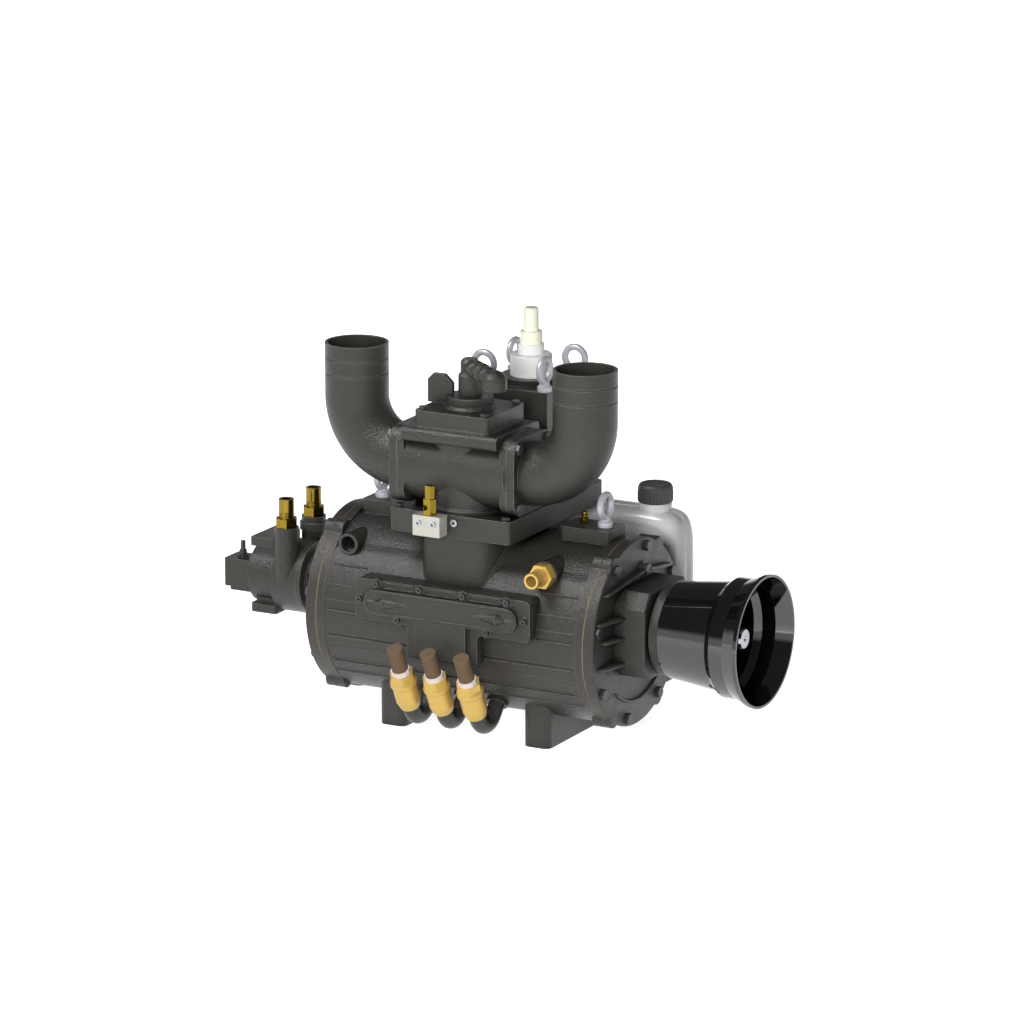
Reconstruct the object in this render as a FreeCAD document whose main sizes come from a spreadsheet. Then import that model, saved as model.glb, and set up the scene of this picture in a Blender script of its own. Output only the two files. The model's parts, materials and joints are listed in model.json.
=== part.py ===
import FreeCAD, Part
import math
import os
import re
import Sketcher

# Rotary vane vacuum pump for a vacuum tanker, in millimetres.
# X runs along the shaft towards the drive end, Y away from the injection side, Z up.
# The origin is on the floor, at the centre of the four foot bolts.

SIZES = {
    # Stator casing
    "barrel_half": 240, "barrel_radius": 146, "bore_radius": 112, "axis_height": 183,
    "rotor_lift": 14, "flange_radius": 151, "flange_depth": 14, "lug_reach": 160,
    "lug_radius": 15, "lug_angle": 31, "rib_stand": 4, "rib_width": 7, "rib_gap": 17,
    "foot_spacing": 262, "foot_width": 47, "foot_reach": 100, "foot_hole_spacing": 150,
    "foot_hole_radius": 7, "foot_hole_depth": 30,
    "neck_half_width": 61, "neck_front": 130, "neck_back": 150, "neck_top": 338,
    "port_radius": 32, "port_front": 75, "port_back": 98,
    "pad_in": 135, "pad_out": 225, "pad_half_depth": 30, "pad_top": 348,
    "boss_x": -199, "boss_height": 296, "boss_radius": 17, "boss_reach": 118,
    "boss_hole_radius": 13, "boss_hole_depth": 30,
    # End covers
    "cover_depth": 18, "gasket_depth": 1, "cover_bolt_radius": 5, "bolt_slack": 0.3,
    "cover_bolt_circle": 138, "bearing_block_reach": 54, "bearing_block_half": 47,
    "bearing_block_side": 79, "bearing_block_chamfer": 30, "cover_rib_depth": 26, "cover_rib_width": 8, "bearing_radius": 36, "bearing_depth": 24,
    "seal_depth": 10, "shaft_radius": 20, "running_gap": 0.05,
    # Rotor and vanes
    "rotor_side_gap": 0.5, "vane_count": 6, "vane_depth": 46, "vane_thickness": 8,
    "vane_side_gap": 0.2, "spline_radius": 17.5, "spline_root": 15, "spline_count": 6,
    "spline_end": 449, "spline_length": 70,
    # Shaft guard
    "ring_depth": 21, "ring_radius": 74, "guard_start": 333, "guard_wall": 4,
    "guard_small": 77.5, "guard_middle": 88, "guard_step": 96, "guard_mouth": 106,
    "guard_neck_end": 421, "guard_step_start": 432, "guard_step_end": 455, "guard_end": 484,
    # Injection manifold, check valves and filters
    "manifold_pad_face": 158, "manifold_lug_face": 168, "manifold_face": 176,
    "manifold_half": 137, "manifold_low": 204, "manifold_high": 245, "stem_half": 46,
    "stem_low": 146, "arrow_in": 60, "arrow_out": 108, "arrow_height": 225,
    "valve_pitch": 60, "valve_tilt": 25.4, "valve_foot_y": -164, "valve_foot_z": 60.5,
    "pipe_radius": 13, "pipe_bore": 9, "pipe_bend": 30, "pipe_lead": 8,
    "valve_radius": 20, "valve_length": 55, "valve_hex": 36, "valve_hex_length": 12,
    "collar_radius": 16, "collar_length": 8, "filter_radius": 12.9, "filter_length": 48,
    # Base plate and what stands on it
    "plate_half_width": 108, "plate_front": 145, "plate_back": 173, "plate_top": 375,
    "block_width": 48, "block_depth": 25, "block_height": 33, "block_x": -27,
    "valve_axis_y": -75, "barrel_axis_height": 441, "valve_barrel_radius": 66,
    "valve_barrel_half": 98, "valve_bore": 47, "plug_radius": 44, "ledge_half": 85,
    "ledge_front": 147, "ledge_top": 508, "cover_half": 66, "cover_front": 139,
    "cover_back": -14, "cover_low": 511, "cover_top": 536, "hub_boss_radius": 37,
    "hub_boss_top": 554, "stem_radius": 11, "hub_radius": 18.5, "hub_top": 590,
    "lever_reach": 117, "lever_angle": -38.5, "lever_height": 600,
    "elbow_radius": 51, "elbow_wall": 4, "elbow_bend": 92, "elbow_x": 205,
    "elbow_top": 618, "elbow_flange_depth": 14, "elbow_flange_half": 62,
    "tower_half": 67, "tower_front": 58, "tower_back": 185, "tower_top": 536,
    "relief_x": 0, "relief_y": 128, "relief_base_radius": 34, "relief_top": 656,
    "eye_ring_radius": 18, "eye_ring_thick": 5.5, "eye_collar_radius": 12,
    "eye_collar_height": 10, "eye_shank_radius": 6,
    "bracket_left": 50, "bracket_right": 200, "bracket_face": 156, "bracket_thick": 5,
    "selector_gap": 0.05, "relief_bore": 14,
    "casing_eye_x": 202, "nipple_x": 160,
    # Brass nozzle
    "nozzle_x": 157, "nozzle_height": 291, "nozzle_seat": 118, "nozzle_radius": 12.5,
    "nozzle_bore": 9, "nozzle_end": 164, "nozzle_hex": 36,
    # Oil tank
    "tank_left": 10, "tank_right": 240, "tank_front": 177, "tank_back": 250,
    "tank_low": 54, "tank_high": 328, "tank_corner": 30, "tank_wall": 4,
    "filler_x": 182, "filler_y": 212, "filler_radius": 27, "tank_cap_radius": 28,
    "tank_cap_low": 339, "tank_cap_top": 369,
    # Coolant pump
    "adapter_end": 333, "adapter_radius": 62, "pump_split": 380, "pump_end": 428,
    "pump_low": 137, "pump_high": 262, "port_y": 43.5, "port_x": -357,
    "port_tube_radius": 20, "port_tube_top": 288, "fitting_top": 335,
    "box_end": 488, "box_depth": 53, "box_middle": 188,
}

doc = FreeCAD.newDocument("vacuum_pump")
sheet = doc.addObject("Spreadsheet::Sheet", "sizes")
for row, (alias, number) in enumerate(SIZES.items(), start=1):
    sheet.set(f"A{row}", alias)
    sheet.set(f"B{row}", str(number))
    sheet.setAlias(f"B{row}", alias)
doc.recompute()

Vector = FreeCAD.Vector
Rotation = FreeCAD.Rotation

# Where a piece's own Z axis points; its own X and Y then lie as an engineer would draw them.
TURNS = {
    "Z": Rotation(),
    "-Z": Rotation(Vector(1, 0, 0), 180),
    "X": Rotation(Vector(0, 1, 0), Vector(0, 0, 1), Vector(1, 0, 0), "ZXY"),
    "-X": Rotation(Vector(0, -1, 0), Vector(0, 0, 1), Vector(-1, 0, 0), "ZXY"),
    "-Y": Rotation(Vector(1, 0, 0), 90),
    "Y": Rotation(Vector(-1, 0, 0), Vector(0, 0, 1), Vector(0, 1, 0), "ZXY"),
}
NODES = []


def bound(text):
    """Point the names in a formula at the cells of the sheet."""
    def cell(word):
        return "sizes." + word.group() if word.group() in SIZES else word.group()
    return re.sub(r"[a-z][a-z_]*[a-z]", cell, str(text))


def value(text):
    """Work a formula out now, for a piece whose number of copies or angle depends on it."""
    return float(sheet.evalExpression(bound(text)))


def bind(thing, prop, text):
    thing.setExpression(prop, bound(text))


def seat(thing, at, turn="Z"):
    """Give a piece its place, as three formulas, and the way that its own Z axis points."""
    rotation = TURNS[turn] if isinstance(turn, str) else turn
    thing.Placement = FreeCAD.Placement(Vector(), rotation)
    for axis, text in zip("xyz", at):
        bind(thing, f"Placement.Base.{axis}", text)
    return thing


def rod(name, radius, length, at, turn="Z"):
    piece = doc.addObject("Part::Cylinder", name)
    bind(piece, "Radius", radius)
    bind(piece, "Height", length)
    return seat(piece, at, turn)


def cone(name, foot, tip, length, at, turn="Z"):
    piece = doc.addObject("Part::Cone", name)
    bind(piece, "Radius1", foot)
    bind(piece, "Radius2", tip)
    bind(piece, "Height", length)
    return seat(piece, at, turn)


def ball(name, radius, at, lowest=-90):
    piece = doc.addObject("Part::Sphere", name)
    bind(piece, "Radius", radius)
    piece.Angle1 = lowest
    return seat(piece, at)


def block(name, x, y, z):
    """A box between two formulas along each axis."""
    piece = doc.addObject("Part::Box", name)
    for prop, (low, high) in zip(("Length", "Width", "Height"), (x, y, z)):
        bind(piece, prop, f"({high}) - ({low})")
    return seat(piece, (x[0], y[0], z[0]))


def hexagon(name, across, length, at, turn="Z", sides=6):
    piece = doc.addObject("Part::Prism", name)
    piece.Polygon = sides
    bind(piece, "Circumradius", f"({across}) / 2 / cos(180 / {sides})")
    bind(piece, "Height", length)
    return seat(piece, at, turn)


def ring(name, radius, thick, at, turn="Z", sweep=360):
    piece = doc.addObject("Part::Torus", name)
    bind(piece, "Radius1", radius)
    bind(piece, "Radius2", thick)
    piece.Angle3 = sweep
    return seat(piece, at, turn)


def join(name, *pieces):
    if len(pieces) == 1:
        return pieces[0]
    piece = doc.addObject("Part::MultiFuse", name)
    piece.Shapes = list(pieces)
    piece.Refine = True
    return piece


def cut(name, base, *tools):
    piece = doc.addObject("Part::Cut", name)
    piece.Base = base
    piece.Tool = join(name + "_tools", *tools)
    piece.Refine = True
    return piece


def overlap(name, first, second):
    piece = doc.addObject("Part::Common", name)
    piece.Base = first
    piece.Tool = second
    return piece


def group(name, pieces):
    piece = doc.addObject("Part::Compound", name)
    piece.Links = list(pieces)
    return piece


def origin_plane(body, role):
    return next(item for item in body.Origin.OriginFeatures if item.Role == role)


def draw(body, name, role, corners):
    """A closed outline through corners given as pairs of formulas, on one of the body's planes."""
    sketch = body.newObject("Sketcher::SketchObject", name)
    sketch.AttachmentSupport = [(origin_plane(body, role), "")]
    sketch.MapMode = "FlatFace"
    spots = [Vector(value(u), value(v), 0) for u, v in corners]
    count = len(spots)
    lines = [Part.LineSegment(spots[i], spots[(i + 1) % count]) for i in range(count)]
    sketch.addGeometry(lines, False)
    for i in range(count):
        sketch.addConstraint(Sketcher.Constraint("Coincident", i, 2, (i + 1) % count, 1))
    for i, (u, v) in enumerate(corners):
        across = sketch.addConstraint(Sketcher.Constraint("DistanceX", -1, 1, i, 1, spots[i].x))
        up = sketch.addConstraint(Sketcher.Constraint("DistanceY", -1, 1, i, 1, spots[i].y))
        bind(sketch, f"Constraints[{across}]", u)
        bind(sketch, f"Constraints[{up}]", v)
    return sketch


def turned(name, profile, at, turn="Z"):
    """A body turned about its own Z axis from (radius, height) corners."""
    body = doc.addObject("PartDesign::Body", name)
    sketch = draw(body, name + "_profile", "XZ_Plane", profile)
    spin = body.newObject("PartDesign::Revolution", name + "_turned")
    spin.Profile = (sketch, [""])
    spin.ReferenceAxis = (sketch, ["V_Axis"])
    spin.Angle = 360
    return seat(body, at, turn)


def plate(name, corners, depth, at, turn="Z", corner=None):
    """A body padded along its own Z axis, its upright edges rounded to the corner radius."""
    body = doc.addObject("PartDesign::Body", name)
    pad = body.newObject("PartDesign::Pad", name + "_pad")
    sketch = draw(body, name + "_outline", "XY_Plane", corners)
    pad.Profile = (sketch, [""])
    bind(pad, "Length", depth)
    body.Tip = pad
    if corner is not None:
        doc.recompute()
        upright = []
        for number, edge in enumerate(pad.Shape.Edges, start=1):
            ends = [vertex.Point for vertex in edge.Vertexes]
            if len(ends) == 2 and abs(ends[0].z - ends[1].z) > 0.01:
                upright.append(f"Edge{number}")
        fillet = body.newObject("PartDesign::Fillet", name + "_corners")
        fillet.Base = (pad, upright)
        bind(fillet, "Radius", corner)
        body.Tip = fillet
    return seat(body, at, turn)


def rectangle(x, y):
    return [(x[0], y[0]), (x[1], y[0]), (x[1], y[1]), (x[0], y[1])]


def slab(name, x, y, z, corner):
    """An upright plate with rounded corners, seen from above."""
    return plate(name, rectangle(x, y), f"({z[1]}) - ({z[0]})", ("0", "0", z[0]), "Z", corner)


def bolt(name, radius, reach, at, turn, head=1.6):
    """A hexagon bolt whose head rests on the point that it is given, its shank behind it."""
    back = {"X": "-X", "-X": "X", "-Y": "Y", "Y": "-Y", "Z": "-Z"}[turn]
    shank = rod(name + "_shank", radius, reach, at, back)
    return join(name, hexagon(name + "_head", f"2 * {head} * {radius}", f"1.2 * {radius}", at, turn), shank)


def node(name, piece, *, label=None):
    """Name a finished sub-part after the file that it is written to."""
    piece.Label = label or name
    NODES.append(piece)
    return piece


def around(count, first=0.0, last=360.0):
    """Angles in degrees, evenly spaced."""
    return [first + (last - first) * i / count for i in range(count)]


def on_circle(radius, angle, centre_y="0", centre_z="axis_height"):
    """A point of an upright circle about the casing, as formulas for Y and Z."""
    return (f"{centre_y} + ({radius}) * sin({angle:.3f})", f"{centre_z} + ({radius}) * cos({angle:.3f})")


shaft_z = "axis_height + rotor_lift"
rotor_radius = "bore_radius - rotor_lift - rotor_side_gap"
cover_face = "barrel_half + gasket_depth + cover_depth"
block_face = "barrel_half + gasket_depth + cover_depth + bearing_block_reach"
BOLT_ANGLES = around(8, 13.0, 373.0)

# Stator casing: one casting with the vane bore, its feet, port neck, pads and bosses.
barrel = rod("barrel", "barrel_radius", "2 * barrel_half", ("-barrel_half", "0", "axis_height"), "X")
solids = [barrel]
for side, turn in ((-1, "X"), (1, "-X")):
    end = f"{side} * barrel_half"
    solids.append(rod(f"flange_{turn}", "flange_radius", "flange_depth", (end, "0", "axis_height"), turn))
    for tilt in (-1, 1):
        for top in (0, 180):
            y, z = on_circle("lug_reach - lug_radius", value("lug_angle") * tilt + top)
            solids.append(rod("lug", "lug_radius", "flange_depth", (end, y, z), turn))

for face in (-1, 1):
    for step in range(-4, 3):
        height = f"{step} * (rib_gap + rib_width)"
        lean = math.degrees(math.asin(value(height) / value("barrel_radius")))
        rib = doc.addObject("Part::Box", "rib")
        bind(rib, "Length", "2 * (barrel_half - flange_depth)")
        bind(rib, "Width", "2 * rib_stand")
        bind(rib, "Height", "rib_width")
        y = f"{face} * sqrt((barrel_radius + rib_stand)^2 - ({height})^2) - rib_stand * (1 + {face})"
        solids.append(seat(rib, ("flange_depth - barrel_half", y, f"axis_height + {height} - rib_width / 2")))

for side in (-1, 1):
    middle = f"{side} * foot_spacing / 2"
    sides = (f"{middle} - foot_width / 2", f"{middle} + foot_width / 2")
    solids.append(slab("foot", sides, ("-foot_reach", "foot_reach"), ("0", "axis_height - barrel_radius / 2"),
                       "foot_width / 4"))
    pad_x = (f"{side} * pad_in", f"{side} * pad_out")
    if side < 0:
        pad_x = pad_x[::-1]
    solids.append(slab("eyebolt_pad", pad_x, ("-pad_half_depth", "pad_half_depth"),
                       ("axis_height + bore_radius + 10", "pad_top"), "8"))

solids.append(slab("port_neck", ("-neck_half_width", "neck_half_width"), ("-neck_front", "neck_back"),
                   ("axis_height + bore_radius / 2", "neck_top"), "neck_half_width - 1"))
solids.append(rod("hose_boss", "boss_radius", "boss_reach - 40", ("boss_x", "-40", "boss_height"), "-Y"))
solids.append(rod("nozzle_boss", "nozzle_hex / 2 + 3", "nozzle_seat - 40",
                  ("nozzle_x", "-40", "nozzle_height"), "-Y"))

T_OUTLINE = [("-manifold_half - 20", "manifold_low - 12"), ("-stem_half - 17", "manifold_low - 12"),
             ("-stem_half - 17", "stem_low - 7"), ("stem_half + 17", "stem_low - 7"),
             ("stem_half + 17", "manifold_low - 12"), ("manifold_half + 20", "manifold_low - 12"),
             ("manifold_half + 20", "manifold_high + 14"), ("-manifold_half - 20", "manifold_high + 14")]
solids.append(plate("manifold_pad", T_OUTLINE, "manifold_pad_face - bore_radius",
                    ("0", "-bore_radius", "0"), "-Y", "9"))

SCREW_PLACES = [("-117", "manifold_high + 8"), ("-39", "manifold_high + 8"), ("39", "manifold_high + 8"),
                ("117", "manifold_high + 8"), ("-manifold_half - 11", "arrow_height"),
                ("manifold_half + 11", "arrow_height"), ("-stem_half - 34", "manifold_low - 5"),
                ("stem_half + 34", "manifold_low - 5")]

# The three oil elbows end in bosses that point at the casing's axis.
pipe_low_y = "valve_foot_y + pipe_lead * sin(valve_tilt) + pipe_bend * cos(valve_tilt)"
pipe_low_z = "valve_foot_z - pipe_lead * cos(valve_tilt) - pipe_bend * (1 - sin(valve_tilt))"
bend_y = pipe_low_y
bend_z = f"{pipe_low_z} + pipe_bend"
centre_gap = math.hypot(value(bend_y), value(f"{bend_z} - axis_height"))
centre_angle = math.degrees(math.atan2(-value(bend_y), value(f"axis_height - ({bend_z})")))
rise_turn = 90 - centre_angle + math.degrees(math.asin(value("pipe_bend") / centre_gap))
inward = Vector(0, math.cos(math.radians(rise_turn)), math.sin(math.radians(rise_turn)))
pipe_end_y = f"{bend_y} + pipe_bend * sin({rise_turn:.4f})"
pipe_end_z = f"{bend_z} - pipe_bend * cos({rise_turn:.4f})"
end_gap = math.hypot(value(pipe_end_y), value(f"{pipe_end_z} - axis_height"))
boss_reach = f"{end_gap:.4f} - bore_radius"
inward_turn = Rotation(Vector(0, 0, 1), inward)
VALVE_PLACES = [f"{i} * valve_pitch" for i in (-1, 0, 1)]
boss_stand = 10
for x in VALVE_PLACES:
    start_gap = end_gap - value("barrel_radius") - boss_stand
    y = f"{pipe_end_y} + {start_gap:.4f} * cos({rise_turn:.4f})"
    z = f"{pipe_end_z} + {start_gap:.4f} * sin({rise_turn:.4f})"
    solids.append(rod("oil_boss", "pipe_radius + 5", "barrel_radius - bore_radius", (x, y, z), inward_turn))

BRACKET_PLACES = [(x, f"axis_height + {z}") for x in ("bracket_left + 18", "bracket_right - 18") for z in (-35, 35)]
for x, z in BRACKET_PLACES:
    solids.append(rod("bracket_boss", "13", "bracket_face - bore_radius - 8", (x, "bore_radius + 8", z), "Y"))

tools = [rod("vane_bore", "bore_radius", "2 * barrel_half + 2", ("-barrel_half - 1", "0", "axis_height"), "X"),
         rod("hose_hole", "boss_hole_radius", "boss_hole_depth",
             ("boss_x", "boss_hole_depth - boss_reach", "boss_height"), "-Y"),
         rod("nozzle_hole", "nozzle_bore", "nozzle_seat - 60", ("nozzle_x", "-60", "nozzle_height"), "-Y")]
for y in ("-port_front", "port_back"):
    tools.append(rod("port", "port_radius", "neck_top - axis_height", ("0", y, "axis_height + 1"), "Z"))
for side in (-1, 1):
    for front in (-1, 1):
        at = (f"{side} * foot_spacing / 2", f"{front} * foot_hole_spacing / 2", "-1")
        tools.append(rod("foot_hole", "foot_hole_radius", "foot_hole_depth + 1", at))
    end = f"{side} * (barrel_half + 1)"
    for angle in BOLT_ANGLES:
        y, z = on_circle("cover_bolt_circle", angle)
        tools.append(rod("cover_bolt_hole", "cover_bolt_radius + bolt_slack", "31", (end, y, z),
                         "X" if side < 0 else "-X"))
    tools.append(rod("eyebolt_hole", "eye_shank_radius + bolt_slack", "26", (f"{side} * casing_eye_x", "0", "pad_top - 25")))
    tools.append(rod("nipple_hole", "4.2", "11", (f"{side} * nipple_x", "10", "pad_top - 10")))
for x, z in SCREW_PLACES:
    tools.append(rod("manifold_hole", "3.3", "17", (x, "-manifold_pad_face + 16", z), "-Y"))
for x, z in BRACKET_PLACES:
    tools.append(rod("bracket_hole", "5.3", "26", (x, "bracket_face - 25", z), "Y"))
casing = node("stator_casing", cut("casing_cut", join("casing_solid", *solids), *tools))



def copy(name, piece, at, rotation):
    """The same piece again, turned about its own origin and moved to another place."""
    return seat(group(name, [piece]), at, rotation)


def about_x(angle):
    return Rotation(Vector(1, 0, 0), angle)


# End covers: each carries a bearing, a shaft seal and the ribs that stiffen it.
def end_cover(name, side, reach, rib_depth):
    turn = "X" if side > 0 else "-X"
    foot = f"{side} * (barrel_half + gasket_depth)"
    solids = [rod("cover_disc", "flange_radius", "cover_depth", (foot, "0", "axis_height"), turn)]
    tools = []
    for top in (0, 180):
        for tilt in (-1, 1):
            y, z = on_circle("lug_reach - lug_radius", value("lug_angle") * tilt + top)
            solids.append(rod("lug", "lug_radius", "cover_depth", (foot, y, z), turn))
    wide, tall, bevel = "bearing_block_side", "bearing_block_half", "bearing_block_chamfer"
    octagon = [(f"-{wide}", f"{bevel} - {tall}"), (f"{bevel} - {wide}", f"-{tall}"),
               (f"{wide} - {bevel}", f"-{tall}"), (wide, f"{bevel} - {tall}"),
               (wide, f"{tall} - {bevel}"), (f"{wide} - {bevel}", tall),
               (f"{bevel} - {wide}", tall), (f"-{wide}", f"{tall} - {bevel}")]
    solids.append(plate("bearing_block", octagon, f"cover_depth + {reach}", (foot, "0", shaft_z), turn))
    rib = plate("cover_rib", [("20", "-cover_rib_width / 2"), ("flange_radius - 26", "-cover_rib_width / 2"),
                              ("flange_radius - 26", "cover_rib_width / 2"), ("20", "cover_rib_width / 2")],
                f"cover_depth + {rib_depth}", ("0", "0", "0"))
    for angle in around(12, 9.0, 369.0):
        lean = TURNS[turn].multiply(Rotation(Vector(0, 0, 1), angle))
        solids.append(copy("cover_rib_copy", rib, (foot, "0", "axis_height"), lean))
    tools.append(rod("bearing_seat", "bearing_radius", "bearing_depth", (foot, "0", shaft_z), turn))
    tools.append(rod("shaft_hole", "shaft_radius + 2", f"cover_depth + {reach} + 1", (foot, "0", shaft_z), turn))
    mouth = f"{side} * (barrel_half + gasket_depth + cover_depth + {reach})"
    back = "-X" if side > 0 else "X"
    tools.append(rod("seal_seat", "shaft_radius + 10", "seal_depth", (mouth, "0", shaft_z), back))
    for angle in BOLT_ANGLES:
        y, z = on_circle("cover_bolt_circle", angle)
        tools.append(rod("cover_bolt_hole", "cover_bolt_radius + bolt_slack", "cover_depth + 60", (foot, y, z), turn))
    return cut(name + "_cut", join(name + "_solid", *solids), *tools)


rear_reach = "18"
node("drive_end_cover", end_cover("drive_end_cover", 1, "bearing_block_reach", "cover_rib_depth"))
node("rear_end_cover", end_cover("rear_end_cover", -1, rear_reach, f"{rear_reach} - 4"))

gaskets = []
cover_bolts = []
bearings = []
seals = []
for side, reach in ((1, "bearing_block_reach"), (-1, rear_reach)):
    turn, back = ("X", "-X") if side > 0 else ("-X", "X")
    foot = f"{side} * barrel_half"
    sheet_ring = rod("gasket_disc", "flange_radius - 0.5", "gasket_depth", (foot, "0", "axis_height"), turn)
    holes = [rod("gasket_bore", "bore_radius + 1", "gasket_depth", (foot, "0", "axis_height"), turn)]
    face = f"{side} * (barrel_half + gasket_depth + cover_depth)"
    for angle in BOLT_ANGLES:
        y, z = on_circle("cover_bolt_circle", angle)
        holes.append(rod("gasket_hole", "cover_bolt_radius + bolt_slack", "gasket_depth", (foot, y, z), turn))
        cover_bolts.append(bolt("cover_bolt", "cover_bolt_radius", "cover_depth + gasket_depth + 28",
                                (face, y, z), turn))
    gaskets.append(cut("gasket", sheet_ring, *holes))
    inner = f"{side} * (barrel_half + gasket_depth)"
    race = [("shaft_radius + running_gap", "0"), ("bearing_radius", "0"), ("bearing_radius", "bearing_depth - 2"),
            ("shaft_radius + running_gap", "bearing_depth - 2")]
    bearings.append(turned("bearing", race, (f"{inner} + {side}", "0", shaft_z), turn))
    mouth = f"{side} * (barrel_half + gasket_depth + cover_depth + {reach})"
    lip = [("shaft_radius + running_gap", "1"), ("shaft_radius + 6", "1"), ("shaft_radius + 6", "0"),
           ("shaft_radius + 10", "0"), ("shaft_radius + 10", "seal_depth"),
           ("shaft_radius + running_gap", "seal_depth")]
    seals.append(turned("seal", lip, (mouth, "0", shaft_z), back))
node("end_cover_gaskets", group("gasket_pair", gaskets))
node("end_cover_bolts", group("cover_bolt_set", cover_bolts))
node("rotor_bearings", group("bearing_pair", bearings))
node("shaft_seals", group("seal_pair", seals))

# Rotor with six leaning slots, and the vanes drawn in flush with it.
rotor_half = "barrel_half - rotor_side_gap"
vane_offset = "20"
rotor_core = rod("rotor_core", rotor_radius, f"2 * ({rotor_half})", (f"-({rotor_half})", "0", shaft_z), "X")
vane_hull = rod("vane_hull", f"{rotor_radius} - 0.2", f"2 * ({rotor_half})", (f"-({rotor_half})", "0", shaft_z), "X")
slot = block("slot", (f"-({rotor_half}) - 1", f"{rotor_half} + 1"),
             (f"{vane_offset} - vane_thickness / 2 - vane_side_gap", f"{vane_offset} + vane_thickness / 2 + vane_side_gap"),
             (f"{rotor_radius} - vane_depth - 3", f"{rotor_radius} + 5"))
blade = block("blade", (f"-({rotor_half})", rotor_half),
              (f"{vane_offset} - vane_thickness / 2", f"{vane_offset} + vane_thickness / 2"),
              (f"{rotor_radius} - vane_depth - 2", f"{rotor_radius} + 5"))
slots = []
blades = []
for angle in around(int(value("vane_count"))):
    slots.append(copy("slot_copy", slot, ("0", "0", shaft_z), about_x(angle)))
    blades.append(overlap("vane", copy("blade_copy", blade, ("0", "0", shaft_z), about_x(angle)), vane_hull))
shaft_core_radius = "shaft_radius + 8"
slots.append(rod("rotor_bore", shaft_core_radius, f"2 * ({rotor_half}) + 2", (f"-({rotor_half}) - 1", "0", shaft_z), "X"))
node("rotor", cut("rotor_cut", rotor_core, *slots))
node("rotor_vanes", group("vane_set", blades))

coupling_start = f"barrel_half + gasket_depth + cover_depth + {rear_reach} + 14"
coupling_length = "30"
shaft_profile = [("0", f"-({coupling_start}) - {coupling_length}"),
                 ("14", f"-({coupling_start}) - {coupling_length}"), ("14", f"-({coupling_start})"),
                 ("shaft_radius", f"-({coupling_start})"), ("shaft_radius", f"-({rotor_half})"),
                 (shaft_core_radius, f"-({rotor_half})"), (shaft_core_radius, rotor_half),
                 ("shaft_radius", rotor_half), ("shaft_radius", f"{block_face} + 6"),
                 ("spline_radius", f"{block_face} + 6"), ("spline_radius", "spline_end - 3"),
                 ("spline_root", "spline_end"), ("4", "spline_end"), ("0", "spline_end - 6")]
shaft_blank = turned("shaft_blank", shaft_profile, ("0", "0", shaft_z), "X")
groove = block("spline_groove", ("spline_end - spline_length", "spline_end + 1"), ("-4.5", "4.5"),
               ("spline_root", "spline_radius + 3"))
grooves = [copy("groove_copy", groove, ("0", "0", shaft_z), about_x(angle))
           for angle in around(int(value("spline_count")))]
node("drive_shaft", cut("shaft_cut", shaft_blank, *grooves))

# Guard ring on the bearing block, and the open bell that covers the splined shaft.
node("guard_ring", turned("guard_ring_turned",
     [("shaft_radius + 12", "0"), ("ring_radius - 14", "0"), ("ring_radius - 14", "4"), ("ring_radius", "4"),
      ("ring_radius", f"guard_start - ({block_face})"), ("shaft_radius + 12", f"guard_start - ({block_face})")],
     (block_face, "0", shaft_z), "X"))
guard_profile = [
    ("guard_small - 26", "0"), ("guard_small", "0"), ("guard_middle", "guard_neck_end - guard_start"),
    ("guard_step", "guard_step_start - guard_start"), ("guard_step", "guard_step_end - guard_start"),
    ("guard_mouth", "guard_end - guard_start - 6"), ("guard_mouth", "guard_end - guard_start"),
    ("guard_mouth - guard_wall", "guard_end - guard_start"),
    ("guard_step - guard_wall", "guard_step_end - guard_start + 2"),
    ("guard_step - guard_wall", "guard_step_start - guard_start + 2"),
    ("guard_middle - guard_wall", "guard_neck_end - guard_start + 2"),
    ("guard_small - guard_wall", "guard_wall"), ("guard_small - 26", "guard_wall")]
bell = turned("guard_bell", guard_profile, ("guard_start", "0", shaft_z), "X")
guard_hole_circle = "ring_radius - 10"
guard_holes = []
guard_screws = []
for angle in (45, 135, 225, 315):
    y, z = on_circle(guard_hole_circle, angle, "0", shaft_z)
    guard_holes.append(rod("guard_hole", "3.3", "guard_wall + 2", ("guard_start - 1", y, z), "X"))
    guard_screws.append(bolt("guard_screw", "3", "guard_wall - 0.1", ("guard_start + guard_wall", y, z), "X"))
window_y, window_z = on_circle("guard_middle", 222, "0", shaft_z)
guard_holes.append(block("clip_window", ("guard_neck_end - 6", "guard_neck_end + 14"),
                         (f"{window_y} - 14", f"{window_y} + 8"), (f"{window_z} - 10", f"{window_z} + 2")))
node("shaft_guard", cut("guard_cut", bell, *guard_holes))
node("guard_screws", group("guard_screw_set", guard_screws))

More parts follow.
